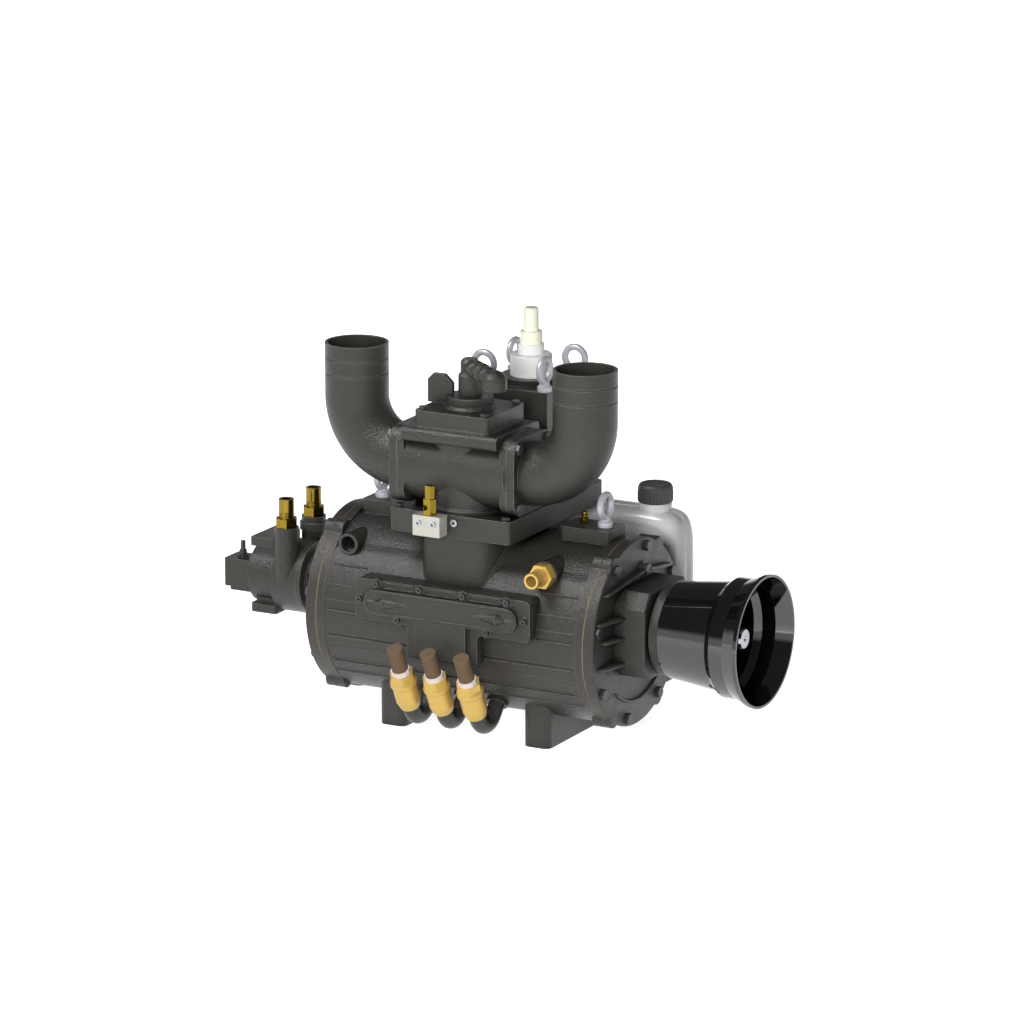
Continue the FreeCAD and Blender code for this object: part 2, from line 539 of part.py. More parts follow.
# Injection manifold: a T-shaped plate with a raised rib, screwed on through lugs round its edge.
manifold_plate = plate("manifold_plate", T_OUTLINE, "manifold_lug_face - manifold_pad_face",
                       ("0", "-manifold_pad_face", "0"), "-Y", "9")
raised_depth = "manifold_face - manifold_pad_face"
manifold_bar = plate("manifold_bar", rectangle(("-manifold_half", "manifold_half"), ("manifold_low", "manifold_high")),
                     raised_depth, ("0", "-manifold_pad_face", "0"), "-Y", "(manifold_high - manifold_low) / 2 - 0.5")
manifold_stem = plate("manifold_stem", rectangle(("-stem_half", "stem_half"), ("stem_low", "manifold_low + 10")),
                      raised_depth, ("0", "-manifold_pad_face", "0"), "-Y", "4")
lugs = []
lug_holes = []
manifold_screws = []
for x, z in SCREW_PLACES:
    face = "-manifold_lug_face - 2"
    lugs.append(rod("screw_lug", "8.6", "manifold_lug_face - manifold_pad_face + 2", (x, "-manifold_pad_face", z), "-Y"))
    lug_holes.append(rod("screw_hole", "3.3", "20", (x, "-manifold_pad_face + 2", z), "-Y"))
    socket = hexagon("screw_socket", "4", "3", (x, f"{face} - 4", z), "Y")
    head = rod("screw_head", "5", "4", (x, face, z), "-Y")
    manifold_screws.append(cut("manifold_screw", join("screw_solid", head, rod("screw_shank", "3",
                           "manifold_lug_face - manifold_pad_face + 16", (x, face, z), "Y")), socket))
arrow_length = "arrow_out + 26 - arrow_in"
arrow_profile = [("0", "0"), ("2", "0"), ("2", f"{arrow_length} - 58"), ("10", f"{arrow_length} - 42"),
                 ("1", arrow_length), ("0", arrow_length)]
for side, turn in ((-1, "X"), (1, "-X")):
    tail = (f"{side} * (arrow_out + 26)", "0.7 - manifold_face", "arrow_height")
    lugs.append(turned("arrow", arrow_profile, tail, turn))
node("injection_manifold", cut("manifold_cut", join("manifold_solid", manifold_plate, manifold_bar, manifold_stem,
                                                    *lugs), *lug_holes))
node("manifold_screws", group("manifold_screw_set", manifold_screws))

# Oil elbows: a short lead, a bend and a straight end against the casing's boss.
valve_turn = Rotation(Vector(1, 0, 0), value("valve_tilt"))
valve_down = Rotation(Vector(1, 0, 0), 180 + value("valve_tilt"))
total_turn = rise_turn + 90 - value("valve_tilt")
lean_cos = math.cos(math.radians(value("valve_tilt")))
lean_sin = math.sin(math.radians(value("valve_tilt")))
bend_start = Rotation(Vector(0, -lean_cos, -lean_sin), Vector(0, lean_sin, -lean_cos), Vector(1, 0, 0), "ZXY")
elbows = []
for x in VALVE_PLACES:
    walls = []
    for kind, radius in (("outer", "pipe_radius"), ("inner", "pipe_bore")):
        bend = ring(f"elbow_bend_{kind}", "pipe_bend", radius, (x, bend_y, bend_z), bend_start, total_turn)
        lead = rod(f"elbow_lead_{kind}", radius, "pipe_lead", (x, "valve_foot_y", "valve_foot_z"), valve_down)
        tail = rod(f"elbow_tail_{kind}", radius, f"{start_gap:.4f}", (x, pipe_end_y, pipe_end_z), inward_turn)
        walls.append(join(f"elbow_{kind}", bend, lead, tail))
    elbows.append(cut("oil_elbow", *walls))
node("injection_elbows", group("oil_elbow_set", elbows))

# Check valves on the elbows, each with its moving poppet, a white collar and a sintered filter.
valve_full = "valve_length + valve_hex_length"
body_profile = [("pipe_bore", "0"), ("pipe_radius + 3", "0"), ("valve_radius - 1", "10"), ("valve_radius", "13"),
                ("valve_radius", "valve_length - 12"), ("valve_radius + 2", "valve_length - 9"),
                ("valve_radius + 2", "valve_length - 4"), ("valve_radius - 1", "valve_length"),
                ("filter_radius - 3", "valve_length"), ("filter_radius - 3", "valve_length - 3"),
                ("15", "valve_length - 8"), ("15", "16"), ("pipe_bore", "12")]
valve_bodies = []
collars = []
filters = []
up_y = "-sin(valve_tilt)"
up_z = "cos(valve_tilt)"


def on_valve(x, distance):
    """A point on a check valve's axis, so far above its foot."""
    return (x, f"valve_foot_y + ({distance}) * {up_y}", f"valve_foot_z + ({distance}) * {up_z}")


for number, x in enumerate(VALVE_PLACES, start=1):
    shell = turned("valve_shell", body_profile, on_valve(x, "0"), valve_turn)
    hexagon_top = hexagon("valve_hex", "valve_hex", "valve_hex_length", on_valve(x, "valve_length"), valve_turn)
    hexagon_bore = rod("valve_hex_bore", "filter_radius - 3", "valve_hex_length + 2", on_valve(x, "valve_length - 1"),
                       valve_turn)
    valve_bodies.append(cut("check_valve", join("check_valve_solid", shell, hexagon_top), hexagon_bore))
    collar = hexagon("collar_hex", "2 * collar_radius - 2", "collar_length", on_valve(x, valve_full), valve_turn, 12)
    collars.append(cut("collar", collar, rod("collar_bore", "filter_radius", "collar_length - 3",
                       on_valve(x, f"{valve_full} + 3"), valve_turn),
                       rod("collar_way", "8", "collar_length + 2", on_valve(x, f"{valve_full} - 1"), valve_turn)))
    tube = [("8", "0"), ("filter_radius", "0"), ("filter_radius", "filter_length - 1"),
            ("filter_radius - 1", "filter_length"), ("0", "filter_length"), ("0", "filter_length - 5"),
            ("8", "filter_length - 5")]
    filters.append(turned("filter", tube, on_valve(x, f"{valve_full} + 3"), valve_turn))
    poppet = [("0", "13"), ("pipe_bore + 1", "13"), ("pipe_bore + 3", "16.5"), ("pipe_bore + 3", "21"),
              ("4", "23"), ("4", "34"), ("0", "34")]
    node(f"check_poppet_{number}", turned(f"poppet_{number}", poppet, on_valve(x, "0.3"), valve_turn))
node("check_valve_bodies", group("check_valve_set", valve_bodies))
node("check_valve_collars", group("collar_set", collars))
node("sintered_filters", group("filter_set", filters))

# Base plate: carries the two ports from the casing up to the selector valve and the rear tower.
plate_solid = slab("base_plate_solid", ("-plate_half_width", "plate_half_width"), ("-plate_front", "plate_back"),
                   ("neck_top", "plate_top"), "8")
PLATE_BOLTS = [(f"{side} * (plate_half_width - 13)", y) for side in (-1, 1)
               for y in ("13 - plate_front", "plate_back - 13")]
plate_holes = [rod("plate_bolt_hole", "4.3", "26", (x, y, "plate_top - 25")) for x, y in PLATE_BOLTS]
plate_holes.append(rod("front_port", "port_radius", "plate_top - neck_top + 2", ("0", "-port_front", "neck_top - 1")))
plate_holes.append(rod("back_port", "port_radius", "plate_top - neck_top + 2", ("0", "port_back", "neck_top - 1")))
BLOCK_SCREWS = [f"block_x + {side} * 13" for side in (-1, 1)]
block_screw_z = "plate_top - 12"
plug_x = "block_x + block_width / 2 + 13"
for x in BLOCK_SCREWS:
    plate_holes.append(rod("block_screw_hole", "3.3", "17", (x, "16 - plate_front", block_screw_z), "-Y"))
plate_holes.append(rod("plug_hole", "6", "13", (plug_x, "12 - plate_front", block_screw_z), "-Y"))
node("base_plate", cut("base_plate_cut", plate_solid, *plate_holes))
node("base_plate_bolts", group("plate_bolt_set",
     [bolt("plate_bolt", "4", "22", (x, y, "plate_top"), "Z") for x, y in PLATE_BOLTS]))

# Test block on the plate's front edge, with its two screws, brass fitting and a socket plug.
block_face = "-plate_front - block_depth"
block_body = block("test_block_body", ("block_x - block_width / 2", "block_x + block_width / 2"),
                   (block_face, "-plate_front"), ("plate_top - block_height", "plate_top"))
block_holes = [rod("test_screw_hole", "3.3", "block_depth + 2", (x, "1 - plate_front", block_screw_z), "-Y")
               for x in BLOCK_SCREWS]
block_holes.append(rod("fitting_hole", "5.2", "16", ("block_x", "-plate_front - block_depth / 2", "plate_top - 15")))
node("test_block", cut("test_block_cut", block_body, *block_holes))


def socket_screw(name, radius, reach, at, turn, back):
    """A cap screw: a round head with a hexagon socket, its shank behind the point it is given."""
    x, y, z = at
    head = rod(name + "_head", f"{radius} * 1.7", f"{radius} * 1.2", at, turn)
    shank = rod(name + "_shank", radius, reach, at, back)
    sign = -1 if turn == "-Y" else 1
    mouth = (x, f"{y} + {sign} * {radius} * 1.2", z)
    return cut(name, join(name + "_solid", head, shank), hexagon(name + "_socket", f"{radius} * 1.6",
                                                                 f"{radius} * 0.9", mouth, back))


node("test_block_screws", group("test_screw_set",
     [socket_screw("test_screw", "3", "block_depth + 14", (x, block_face, block_screw_z), "-Y", "Y")
      for x in BLOCK_SCREWS]))
fitting_y = "-plate_front - block_depth / 2"
fitting_solid = join("fitting_solid", hexagon("fitting_hex", "20", "26", ("block_x", fitting_y, "plate_top")),
                     hexagon("fitting_upper", "15", "21", ("block_x", fitting_y, "plate_top + 26")),
                     rod("fitting_spigot", "5", "14", ("block_x", fitting_y, "plate_top - 14")))
node("test_fitting", cut("fitting_cut", fitting_solid,
                         rod("fitting_bore", "2.5", "40", ("block_x", fitting_y, "plate_top - 15")),
                         rod("fitting_side", "4.5", "12", ("block_x - 3", f"{fitting_y}", "plate_top + 13"), "-Y")))
node("socket_plug", cut("plug_cut", rod("plug_solid", "5.9", "14", (plug_x, "11 - plate_front", block_screw_z), "-Y"),
                        hexagon("plug_socket", "5", "6", (plug_x, "-plate_front - 4", block_screw_z), "Y")))

# Four-way selector valve: an upright plug chamber inside a cross barrel, with a foot and a rear neck.
valve_at = ("0", "valve_axis_y")
valve_solids = [
    turned("valve_foot", [("0", "0"), ("valve_barrel_radius - 1", "0"), ("valve_barrel_radius - 1", "4"),
                          ("valve_barrel_radius - 5", "7"), ("valve_barrel_radius - 5", "ledge_top - plate_top - 10"),
                          ("0", "ledge_top - plate_top - 10")], valve_at + ("plate_top",)),
    rod("valve_barrel", "valve_barrel_radius", "2 * valve_barrel_half - 6",
        ("3 - valve_barrel_half", "valve_axis_y", "barrel_axis_height"), "X"),
    rod("rear_neck", "42", "tower_front - valve_axis_y", ("0", "valve_axis_y", "barrel_axis_height"), "Y")]
valve_solids.append(plate("valve_ledge", rectangle(("-ledge_front - valve_axis_y", "ledge_front + valve_axis_y"),
                    ("485 - ledge_top", "0")), "2 * ledge_half", ("-ledge_half", "valve_axis_y", "ledge_top"), "X", "9"))
valve_solids.append(slab("cover_seat", ("-cover_half", "cover_half"), ("-cover_front", "cover_back"),
                         ("ledge_top - 20", "cover_low"), "8"))
flange_outline = rectangle(("-elbow_flange_half", "elbow_flange_half"), ("-elbow_flange_half", "elbow_flange_half"))
FLANGE_BOLTS = [(f"valve_axis_y + {a} * (elbow_flange_half - 14)", f"barrel_axis_height + {b} * (elbow_flange_half - 14)")
                for a in (-1, 1) for b in (-1, 1)]
valve_tools = [rod("plug_chamber", "plug_radius", "cover_low - plate_top - 5", valve_at + ("plate_top + 6",)),
               rod("bottom_port", "port_radius", "20", valve_at + ("plate_top - 1",)),
               rod("cross_bore", "valve_bore - 8", "2 * valve_barrel_half + 2",
                   ("-valve_barrel_half - 1", "valve_axis_y", "barrel_axis_height"), "X"),
               rod("rear_bore", "30", "tower_front - valve_axis_y + 2", ("0", "valve_axis_y", "barrel_axis_height"), "Y")]
flange_bolts = []
for side in (-1, 1):
    turn, back = ("X", "-X") if side > 0 else ("-X", "X")
    foot = f"{side} * (valve_barrel_half - 12)"
    valve_solids.append(plate("valve_flange", flange_outline, "12", (foot, "valve_axis_y", "barrel_axis_height"),
                              turn, "26"))
    for y, z in FLANGE_BOLTS:
        valve_tools.append(rod("flange_hole", "5.3", "16", (f"{side} * (valve_barrel_half - 14)", y, z), turn))
        face = f"{side} * (valve_barrel_half + elbow_flange_depth)"
        flange_bolts.append(bolt("flange_bolt", "5", "elbow_flange_depth + 12", (face, y, z), turn))
COVER_BOLTS = [(f"{side} * (cover_half - 11)", y) for side in (-1, 1) for y in ("11 - cover_front", "cover_back - 11")]
for x, y in COVER_BOLTS:
    valve_tools.append(rod("cover_bolt_hole", "4.3", "22", (x, y, "cover_low - 21")))
node("selector_valve_body", cut("valve_cut", join("valve_solid", *valve_solids), *valve_tools))
node("elbow_bolts", group("flange_bolt_set", flange_bolts))

cover_solids = [slab("cover_plate", ("-cover_half", "cover_half"), ("-cover_front", "cover_back"),
                     ("cover_low", "cover_top"), "8"),
                turned("cover_boss", [("0", "0"), ("hub_boss_radius + 4", "0"), ("hub_boss_radius", "4"),
                                      ("hub_boss_radius", "hub_boss_top - cover_top"), ("0", "hub_boss_top - cover_top")],
                       valve_at + ("cover_top",)),
                plate("stop_fin", [("-74", "0"), ("-30", "0"), ("-30", "34"), ("-44", "47"), ("-64", "47"), ("-74", "37")],
                      "8", ("0", "valve_axis_y + 4", "cover_top"), "-Y")]
cover_tools = [rod("stem_hole", "stem_radius + selector_gap", "hub_boss_top - cover_low + 2", valve_at + ("cover_low - 1",))]
cover_tools += [rod("cover_through", "4.3", "cover_top - cover_low + 2", (x, y, "cover_low - 1")) for x, y in COVER_BOLTS]
node("selector_cover", cut("cover_cut", join("cover_solid", *cover_solids), *cover_tools))
node("selector_cover_bolts", group("selector_bolt_set",
     [bolt("selector_bolt", "4", "cover_top - cover_low + 18", (x, y, "cover_top"), "Z") for x, y in COVER_BOLTS]))

# Selector plug with a web between its two channels; the lever hub clamps on its stem.
plug_low = "plate_top + 6.3"
plug_top = "cover_low - 0.3"
plug_solid = turned("plug_turned", [("0", "0"), ("plug_radius - selector_gap", "0"),
                    ("plug_radius - selector_gap", f"{plug_top} - ({plug_low})"), ("stem_radius", f"{plug_top} - ({plug_low})"),
                    ("stem_radius", f"hub_top - 8 - ({plug_low})"), ("0", f"hub_top - 8 - ({plug_low})")],
                    valve_at + (plug_low,))
channel_tools = []
for side in (-1, 1):
    shift = f"{side} * plug_radius"
    channel_tools.append(rod("channel", "plug_radius - 10", "2 * (plug_radius - 4)",
                             (f"{shift} * 0.7071", f"valve_axis_y + {shift} * 0.7071", "barrel_axis_height - plug_radius + 4")))
node("selector_plug", cut("plug_body", plug_solid, *channel_tools))

lever_turn = Rotation(Vector(0, 0, 1), value("lever_angle"))
lever_along = lever_turn.multiply(TURNS["X"])


def on_lever(distance):
    """A point on the lever's axis, so far out from the valve's axis."""
    return (f"({distance}) * cos(lever_angle)", f"valve_axis_y + ({distance}) * sin(lever_angle)", "lever_height")


hub_solid = turned("lever_hub", [("0", "0"), ("hub_radius", "0"), ("hub_radius", "hub_top - hub_boss_top - 3"),
                                 ("hub_radius - 3", "hub_top - hub_boss_top"), ("0", "hub_top - hub_boss_top")],
                   valve_at + ("hub_boss_top + 0.3",))
arm_profile = [("0", "0"), ("13", "0"), ("13", "20"), ("15", "24"), ("15", "34"), ("12", "38"), ("12", "46"),
               ("15.5", "49"), ("15.5", "58"), ("12", "61"), ("12", "66"), ("14", "69"), ("14", "76"), ("10", "80"),
               ("10", "lever_reach - 20"), ("0", "lever_reach - 20")]
arm = turned("lever_arm", arm_profile, on_lever("-4"), lever_along)
hub_head = turned("lever_head", [("0", "0"), ("15", "0"), ("15", "24"), ("11", "29"), ("0", "29")],
                  valve_at + ("hub_top - 6",))
hub_bore = rod("hub_bore", "stem_radius", "hub_top - 8 - hub_boss_top + 0.5", valve_at + ("hub_boss_top - 0.5",))
node("selector_lever", cut("lever_cut", join("lever_solid", hub_solid, hub_head, arm), hub_bore))
knob_x, knob_y, knob_z = on_lever("lever_reach - 18")
knob_profile = [("0", "0"), ("18", "0"), ("20", "3"), ("20", "16"), ("18.5", "22"), ("14", "28"), ("7", "32"), ("0", "33")]
knob_solid = turned("knob_turned", knob_profile, (knob_x, knob_y, "lever_height - 18"))
node("lever_knob", cut("knob_cut", knob_solid, rod("knob_hole", "10", "lever_reach - 20", on_lever("-4"), lever_along)))

# Hose elbows: bolted flange, quarter bend and a straight neck with two shallow hose grooves.
for name, side in (("left_elbow", -1), ("right_elbow", 1)):
    turn = "X" if side > 0 else "-X"
    start = f"{side} * valve_barrel_half"
    bend_from = f"{side} * (elbow_x - elbow_bend)"
    sweep = Rotation(Vector(0, 0, -1), Vector(side, 0, 0), Vector(0, -side, 0), "ZXY")
    walls = []
    for kind, radius in (("outer", "elbow_radius"), ("inner", "elbow_radius - elbow_wall")):
        walls.append([rod(f"{name}_lead", radius, "elbow_x - elbow_bend - valve_barrel_half",
                          (start, "valve_axis_y", "barrel_axis_height"), turn),
                      ring(f"{name}_bend", "elbow_bend", radius,
                           (bend_from, "valve_axis_y", "barrel_axis_height + elbow_bend"), sweep, 90),
                      rod(f"{name}_neck", radius, "elbow_top - barrel_axis_height - elbow_bend",
                          (f"{side} * elbow_x", "valve_axis_y", "barrel_axis_height + elbow_bend"))])
    flange = plate(f"{name}_flange", flange_outline, "elbow_flange_depth",
                   (start, "valve_axis_y", "barrel_axis_height"), turn, "26")
    hollow = join(f"{name}_solid", flange, *walls[0])
    for length, bore in zip(("lead", "bend", "neck"), walls[1]):
        hollow = cut(f"{name}_{length}_bore", hollow, bore)
    tools = []
    for y, z in FLANGE_BOLTS:
        tools.append(rod("flange_hole", "5.3", "elbow_flange_depth + 4", (f"{start} - {side}", y, z), turn))
        tools.append(rod("flange_spot", "9.5", "16", (f"{side} * (valve_barrel_half + elbow_flange_depth)", y, z), turn))
    for drop in ("22", "47"):
        groove_base = (f"{side} * elbow_x", "valve_axis_y", f"elbow_top - {drop} - 3")
        tools.append(turned("hose_groove", [("elbow_radius - 1", "0"), ("elbow_radius + 1", "0"),
                                            ("elbow_radius + 1", "3"), ("elbow_radius - 1", "3")], groove_base))
    node(name, cut(f"{name}_cut", hollow, *tools))

# Rear tower: brings the delivery side up to the relief valve.
head_outline = rectangle(("-tower_half", "tower_half"), ("452", "tower_top + 40"))
tower_head = plate("tower_head", head_outline, "tower_back - tower_front", ("0", "tower_back", "0"), "-Y", "26")
tower_solids = [tower_head,
                slab("tower_stem", ("12 - tower_half", "tower_half - 12"), ("tower_front", "plate_back - 8"),
                     ("plate_top", "tower_top - 20"), "16")]
tower_cut = cut("tower_trim", join("tower_rough", *tower_solids),
                block("tower_trim_block", ("-tower_half - 5", "tower_half + 5"), ("tower_front - 5", "tower_back + 5"),
                      ("tower_top", "tower_top + 60")))
relief_at = ("relief_x", "relief_y")
tower_disc = rod("tower_disc", "50", "10", relief_at + ("tower_top",))
EYE_PLACES = [("-55", "tower_front + 13"), ("55", "tower_front + 13"), ("-55", "tower_back - 11"), ("55", "tower_back - 11")]
tower_tools = [rod("tower_passage", "port_radius", "100", ("0", "port_back", "plate_top - 1")),
               rod("tower_crossing", "30", "45", ("0", "tower_front - 1", "barrel_axis_height"), "Y"),
               rod("relief_way", "relief_bore - 3", "tower_top - plate_top - 40", relief_at + ("plate_top + 60",))]
tower_tools += [rod("eye_hole", "eye_shank_radius + bolt_slack", "26", (x, y, "tower_top - 25")) for x, y in EYE_PLACES]
node("valve_tower", cut("tower_cut", join("tower_solid", tower_cut, tower_disc), *tower_tools))

relief_low = "tower_top + 10"
node("relief_valve_body", turned("relief_body", [
    ("relief_bore", "0"), ("relief_base_radius", "0"), ("relief_base_radius", "33"), ("relief_base_radius - 2", "35"),
    ("21", "35"), ("21", "51"), ("relief_bore", "51")], relief_at + (relief_low,)))
node("relief_valve_cap", turned("relief_cap", [
    ("relief_bore - 2", "0"), ("18", "0"), ("18", "20"), ("17", "21"), ("12", "21"),
    ("12", f"relief_top - 2 - ({relief_low} + 51)"), ("10", f"relief_top - ({relief_low} + 51)"),
    ("0", f"relief_top - ({relief_low} + 51)"), ("0", "16"), ("relief_bore - 2", "16")],
    relief_at + (f"{relief_low} + 51",)))
node("relief_poppet", turned("relief_disc", [
    ("0", "0"), ("relief_bore - 1", "0"), ("relief_bore - 1", "6"), ("5", "8"), ("5", "22"), ("0", "22")],
    relief_at + (f"{relief_low} + 0.3",)))
spring_low = f"{relief_low} + 8.6"
spring_high = f"{relief_low} + 51 + 16 - 0.3"
spring_line = Part.makeHelix(14, value(f"{spring_high} - ({spring_low})") - 2, 9)
spring_wire = Part.Wire([Part.makeCircle(1, Vector(9, 0, 0), Vector(0, 1, 0))])
spring = doc.addObject("Part::Feature", "spring")
spring.Shape = Part.Wire(spring_line.Edges).makePipeShell([spring_wire], True, True)
seat(spring, relief_at + (f"{spring_low} + 1",))
node("relief_spring", spring)


# Eyebolts: a turned collar and shank with a cast ring on top.
def eyebolt(name, at, angle):
    x, y, base = at
    stem = turned(name + "_stem", [("0", "-24"), ("eye_shank_radius", "-24"), ("eye_shank_radius", "0"),
                                   ("eye_collar_radius", "0"), ("eye_collar_radius", "eye_collar_height - 2"),
                                   ("eye_collar_radius - 3", "eye_collar_height"), ("7", "eye_collar_height + 6"),
                                   ("0", "eye_collar_height + 6")], at)
    loop = ring(name + "_ring", "eye_ring_radius", "eye_ring_thick",
                (x, y, f"{base} + eye_collar_height + eye_ring_radius + eye_ring_thick"),
                Rotation(Vector(0, 0, 1), angle).multiply(Rotation(Vector(1, 0, 0), 90)))
    return join(name, stem, loop)


EYE_ANGLES = (0, 90, 90, 0)
node("tower_eyebolts", group("tower_eye_set", [eyebolt("tower_eye", (x, y, "tower_top"), angle)
                                              for (x, y), angle in zip(EYE_PLACES, EYE_ANGLES)]))
node("casing_eyebolts", group("casing_eye_set", [eyebolt("casing_eye", (f"{side} * casing_eye_x", "0", "pad_top"), 90)
                                                for side in (-1, 1)]))
nipple_profile = [("0", "-9"), ("4", "-9"), ("4", "0"), ("6.5", "0"), ("6.5", "7"), ("4", "9"), ("4", "12"),
                  ("5", "14"), ("5", "17"), ("3", "19"), ("0", "19")]
node("grease_nipples", group("nipple_set", [turned("nipple", nipple_profile, (f"{side} * nipple_x", "10", "pad_top"))
                                           for side in (-1, 1)]))

# Brass nozzle at the front right, and the hexagon plug in the drive cover.
nozzle_at = ("nozzle_x", "-nozzle_seat", "nozzle_height")
nozzle_solid = join("nozzle_solid", hexagon("nozzle_nut", "nozzle_hex", "17", nozzle_at, "-Y"),
                    turned("nozzle_tube", [("0", "10"), ("nozzle_hex / 2 - 1", "10"), ("nozzle_radius", "26"),
                                           ("nozzle_radius", "nozzle_end - nozzle_seat"), ("0", "nozzle_end - nozzle_seat")],
                           nozzle_at, "-Y"))
node("inlet_nozzle", cut("nozzle_cut", nozzle_solid, rod("nozzle_way", "nozzle_bore", "nozzle_end - nozzle_seat + 2",
                         ("nozzle_x", "1 - nozzle_seat", "nozzle_height"), "-Y")))
node("cover_plug", join("cover_plug_solid", rod("cover_plug_collar", "13", "3", (cover_face, "17", "283"), "X"),
                        hexagon("cover_plug_hex", "17", "12", (cover_face, "17", "283"), "X")))

# Oil tank: a blow-moulded box with a raised front rim and a screw-on cap, on a bolted bracket.
tank_outer = plate("tank_outer", rectangle(("tank_left", "tank_right"), ("tank_low", "tank_high")),
                   "tank_back - tank_front", ("0", "tank_back", "0"), "-Y", "tank_corner")
tank_inner = plate("tank_inner", rectangle(("tank_left + tank_wall", "tank_right - tank_wall"),
                   ("tank_low + tank_wall", "tank_high - tank_wall")), "tank_back - tank_front - 2 * tank_wall",
                   ("0", "tank_back - tank_wall", "0"), "-Y", "tank_corner - tank_wall")
tank_panel = plate("tank_panel", rectangle(("tank_left + 22", "tank_right - 22"), ("tank_low + 22", "tank_high - 22")),
                   "4", ("0", "tank_front + 2", "0"), "-Y", "tank_corner - 12")
filler_at = ("filler_x", "filler_y")
filler = rod("tank_filler", "filler_radius - 5", "tank_cap_low - tank_high + 16", filler_at + ("tank_high - 2",))
filler_flange = rod("tank_filler_flange", "filler_radius", "tank_cap_low - tank_high + 1.7", filler_at + ("tank_high - 2",))
filler_way = rod("tank_filler_way", "filler_radius - 9", "40", filler_at + ("tank_high - 10",))
node("oil_tank", cut("tank_cut", join("tank_solid", tank_outer, filler, filler_flange), tank_inner, tank_panel, filler_way))
cap_solid = turned("tank_cap_turned", [("0", "0"), ("tank_cap_radius", "0"), ("tank_cap_radius", "tank_cap_top - tank_cap_low - 4"),
                   ("tank_cap_radius - 4", "tank_cap_top - tank_cap_low"), ("0", "tank_cap_top - tank_cap_low")],
                   filler_at + ("tank_cap_low",))
cap_hollow = rod("tank_cap_hollow", "filler_radius - 4.7", "tank_cap_top - tank_cap_low - 6", filler_at + ("tank_cap_low - 1",))
cap_rib = block("cap_rib", ("tank_cap_radius - 1", "tank_cap_radius + 0.9"), ("-1.2", "1.2"), ("1", "tank_cap_top - tank_cap_low - 5"))
cap_ribs = [copy("cap_rib_copy", cap_rib, filler_at + ("tank_cap_low",), Rotation(Vector(0, 0, 1), angle))
            for angle in around(24)]
node("oil_tank_cap", cut("tank_cap_cut", join("tank_cap_solid", cap_solid, *cap_ribs), cap_hollow))
bracket_wall = block("bracket_wall", ("bracket_left", "bracket_right"), ("bracket_face", "bracket_face + bracket_thick"),
                     ("tank_low - bracket_thick", "axis_height + 60"))
bracket_tray = block("bracket_tray", ("bracket_left - 20", "bracket_right + 20"), ("bracket_face", "tank_back + bracket_thick"),
                     ("tank_low - bracket_thick", "tank_low"))
bracket_lip = block("bracket_lip", ("bracket_left - 20", "bracket_right + 20"), ("tank_back", "tank_back + bracket_thick"),
                    ("tank_low - bracket_thick", "tank_low + 25"))
bracket_holes = [rod("bracket_bolt_hole", "5.3", "bracket_thick + 2", (x, "bracket_face - 1", z), "Y") for x, z in BRACKET_PLACES]
node("tank_bracket", cut("bracket_cut", join("bracket_solid", bracket_wall, bracket_tray, bracket_lip), *bracket_holes))
node("bracket_bolts", group("bracket_bolt_set", [bolt("bracket_bolt", "5", "bracket_thick + 22",
     (x, "bracket_face + bracket_thick", z), "Y") for x, z in BRACKET_PLACES]))

# Coolant pump on an open adapter behind the rear cover, driven through a coupling on the rotor shaft.
adapter_start = f"barrel_half + gasket_depth + cover_depth + {rear_reach}"
adapter_length = f"adapter_end - ({adapter_start})"
adapter_shell = turned("adapter_shell", [("shaft_radius + 12", "0"), ("adapter_radius", "0"), ("adapter_radius", "8"), ("52", "14"),
                       ("46", f"{adapter_length} - 10"), ("adapter_radius - 2", f"{adapter_length} - 8"),
                       ("adapter_radius - 2", adapter_length), ("36", adapter_length), ("38", "14"), ("shaft_radius + 12", "8")],
                       (f"-({adapter_start})", "0", shaft_z), "-X")
adapter_window = block("adapter_window", ("30", "adapter_radius"), ("-17", "17"), ("17", f"{adapter_length} - 14"))
windows = [copy("adapter_window_copy", adapter_window, (f"-({adapter_start})", "0", shaft_z),
                TURNS["-X"].multiply(Rotation(Vector(0, 0, 1), angle))) for angle in (0, 90, 180, 270)]
node("pump_adapter", cut("adapter_cut", adapter_shell, *windows))
shaft_tip = f"{coupling_start} + {coupling_length}"
node("shaft_coupling", turned("coupling", [("14", "2"), ("26", "2"), ("27", "5"), ("27", "32"), ("26", "35"), ("9", "35"),
                              ("9", coupling_length), ("14", coupling_length)], (f"-({coupling_start})", "0", shaft_z), "-X"))
gear_start = "pump_split + 6"
gear_end = "pump_end - 8"
front_ring = rod("pump_front_disc", "adapter_radius - 2", "pump_split - adapter_end", ("-adapter_end", "0", shaft_z), "-X")
port_solids = []
port_tools = []
fittings = []
for side in (-1, 1):
    at = ("port_x", f"{side} * port_y")
    port_solids.append(rod("port_tube", "port_tube_radius", f"port_tube_top - ({shaft_z})", at + (shaft_z,)))
    port_tools.append(rod("port_way", "12.3", "60", at + ("port_tube_top - 50",)))
    fitting = join("port_fitting_solid", hexagon("port_hex", "33", "15", at + ("port_tube_top",)),
                   rod("port_stub", "12.5", "fitting_top - port_tube_top", at + ("port_tube_top",)),
                   rod("port_spigot", "12.2", "16", at + ("port_tube_top - 16",)))
    fittings.append(cut("port_fitting", fitting, rod("port_bore", "8", "80", at + ("port_tube_top - 20",))))
port_solids.append(rod("port_collar", "port_tube_radius + 3", "12", ("port_x", "port_y", "port_tube_top - 22")))
pump_solid = join("pump_solid", front_ring, *port_solids)
pump_hole = rod("pump_shaft_hole", "9 + running_gap", "pump_split - adapter_end + 2", ("1 - adapter_end", "0", shaft_z), "-X")
node("coolant_pump_casing", cut("pump_cut", pump_solid, pump_hole, *port_tools))
pump_back = [rod("pump_back_disc", "50", "pump_end - pump_split", ("-pump_split", "0", shaft_z), "-X")]
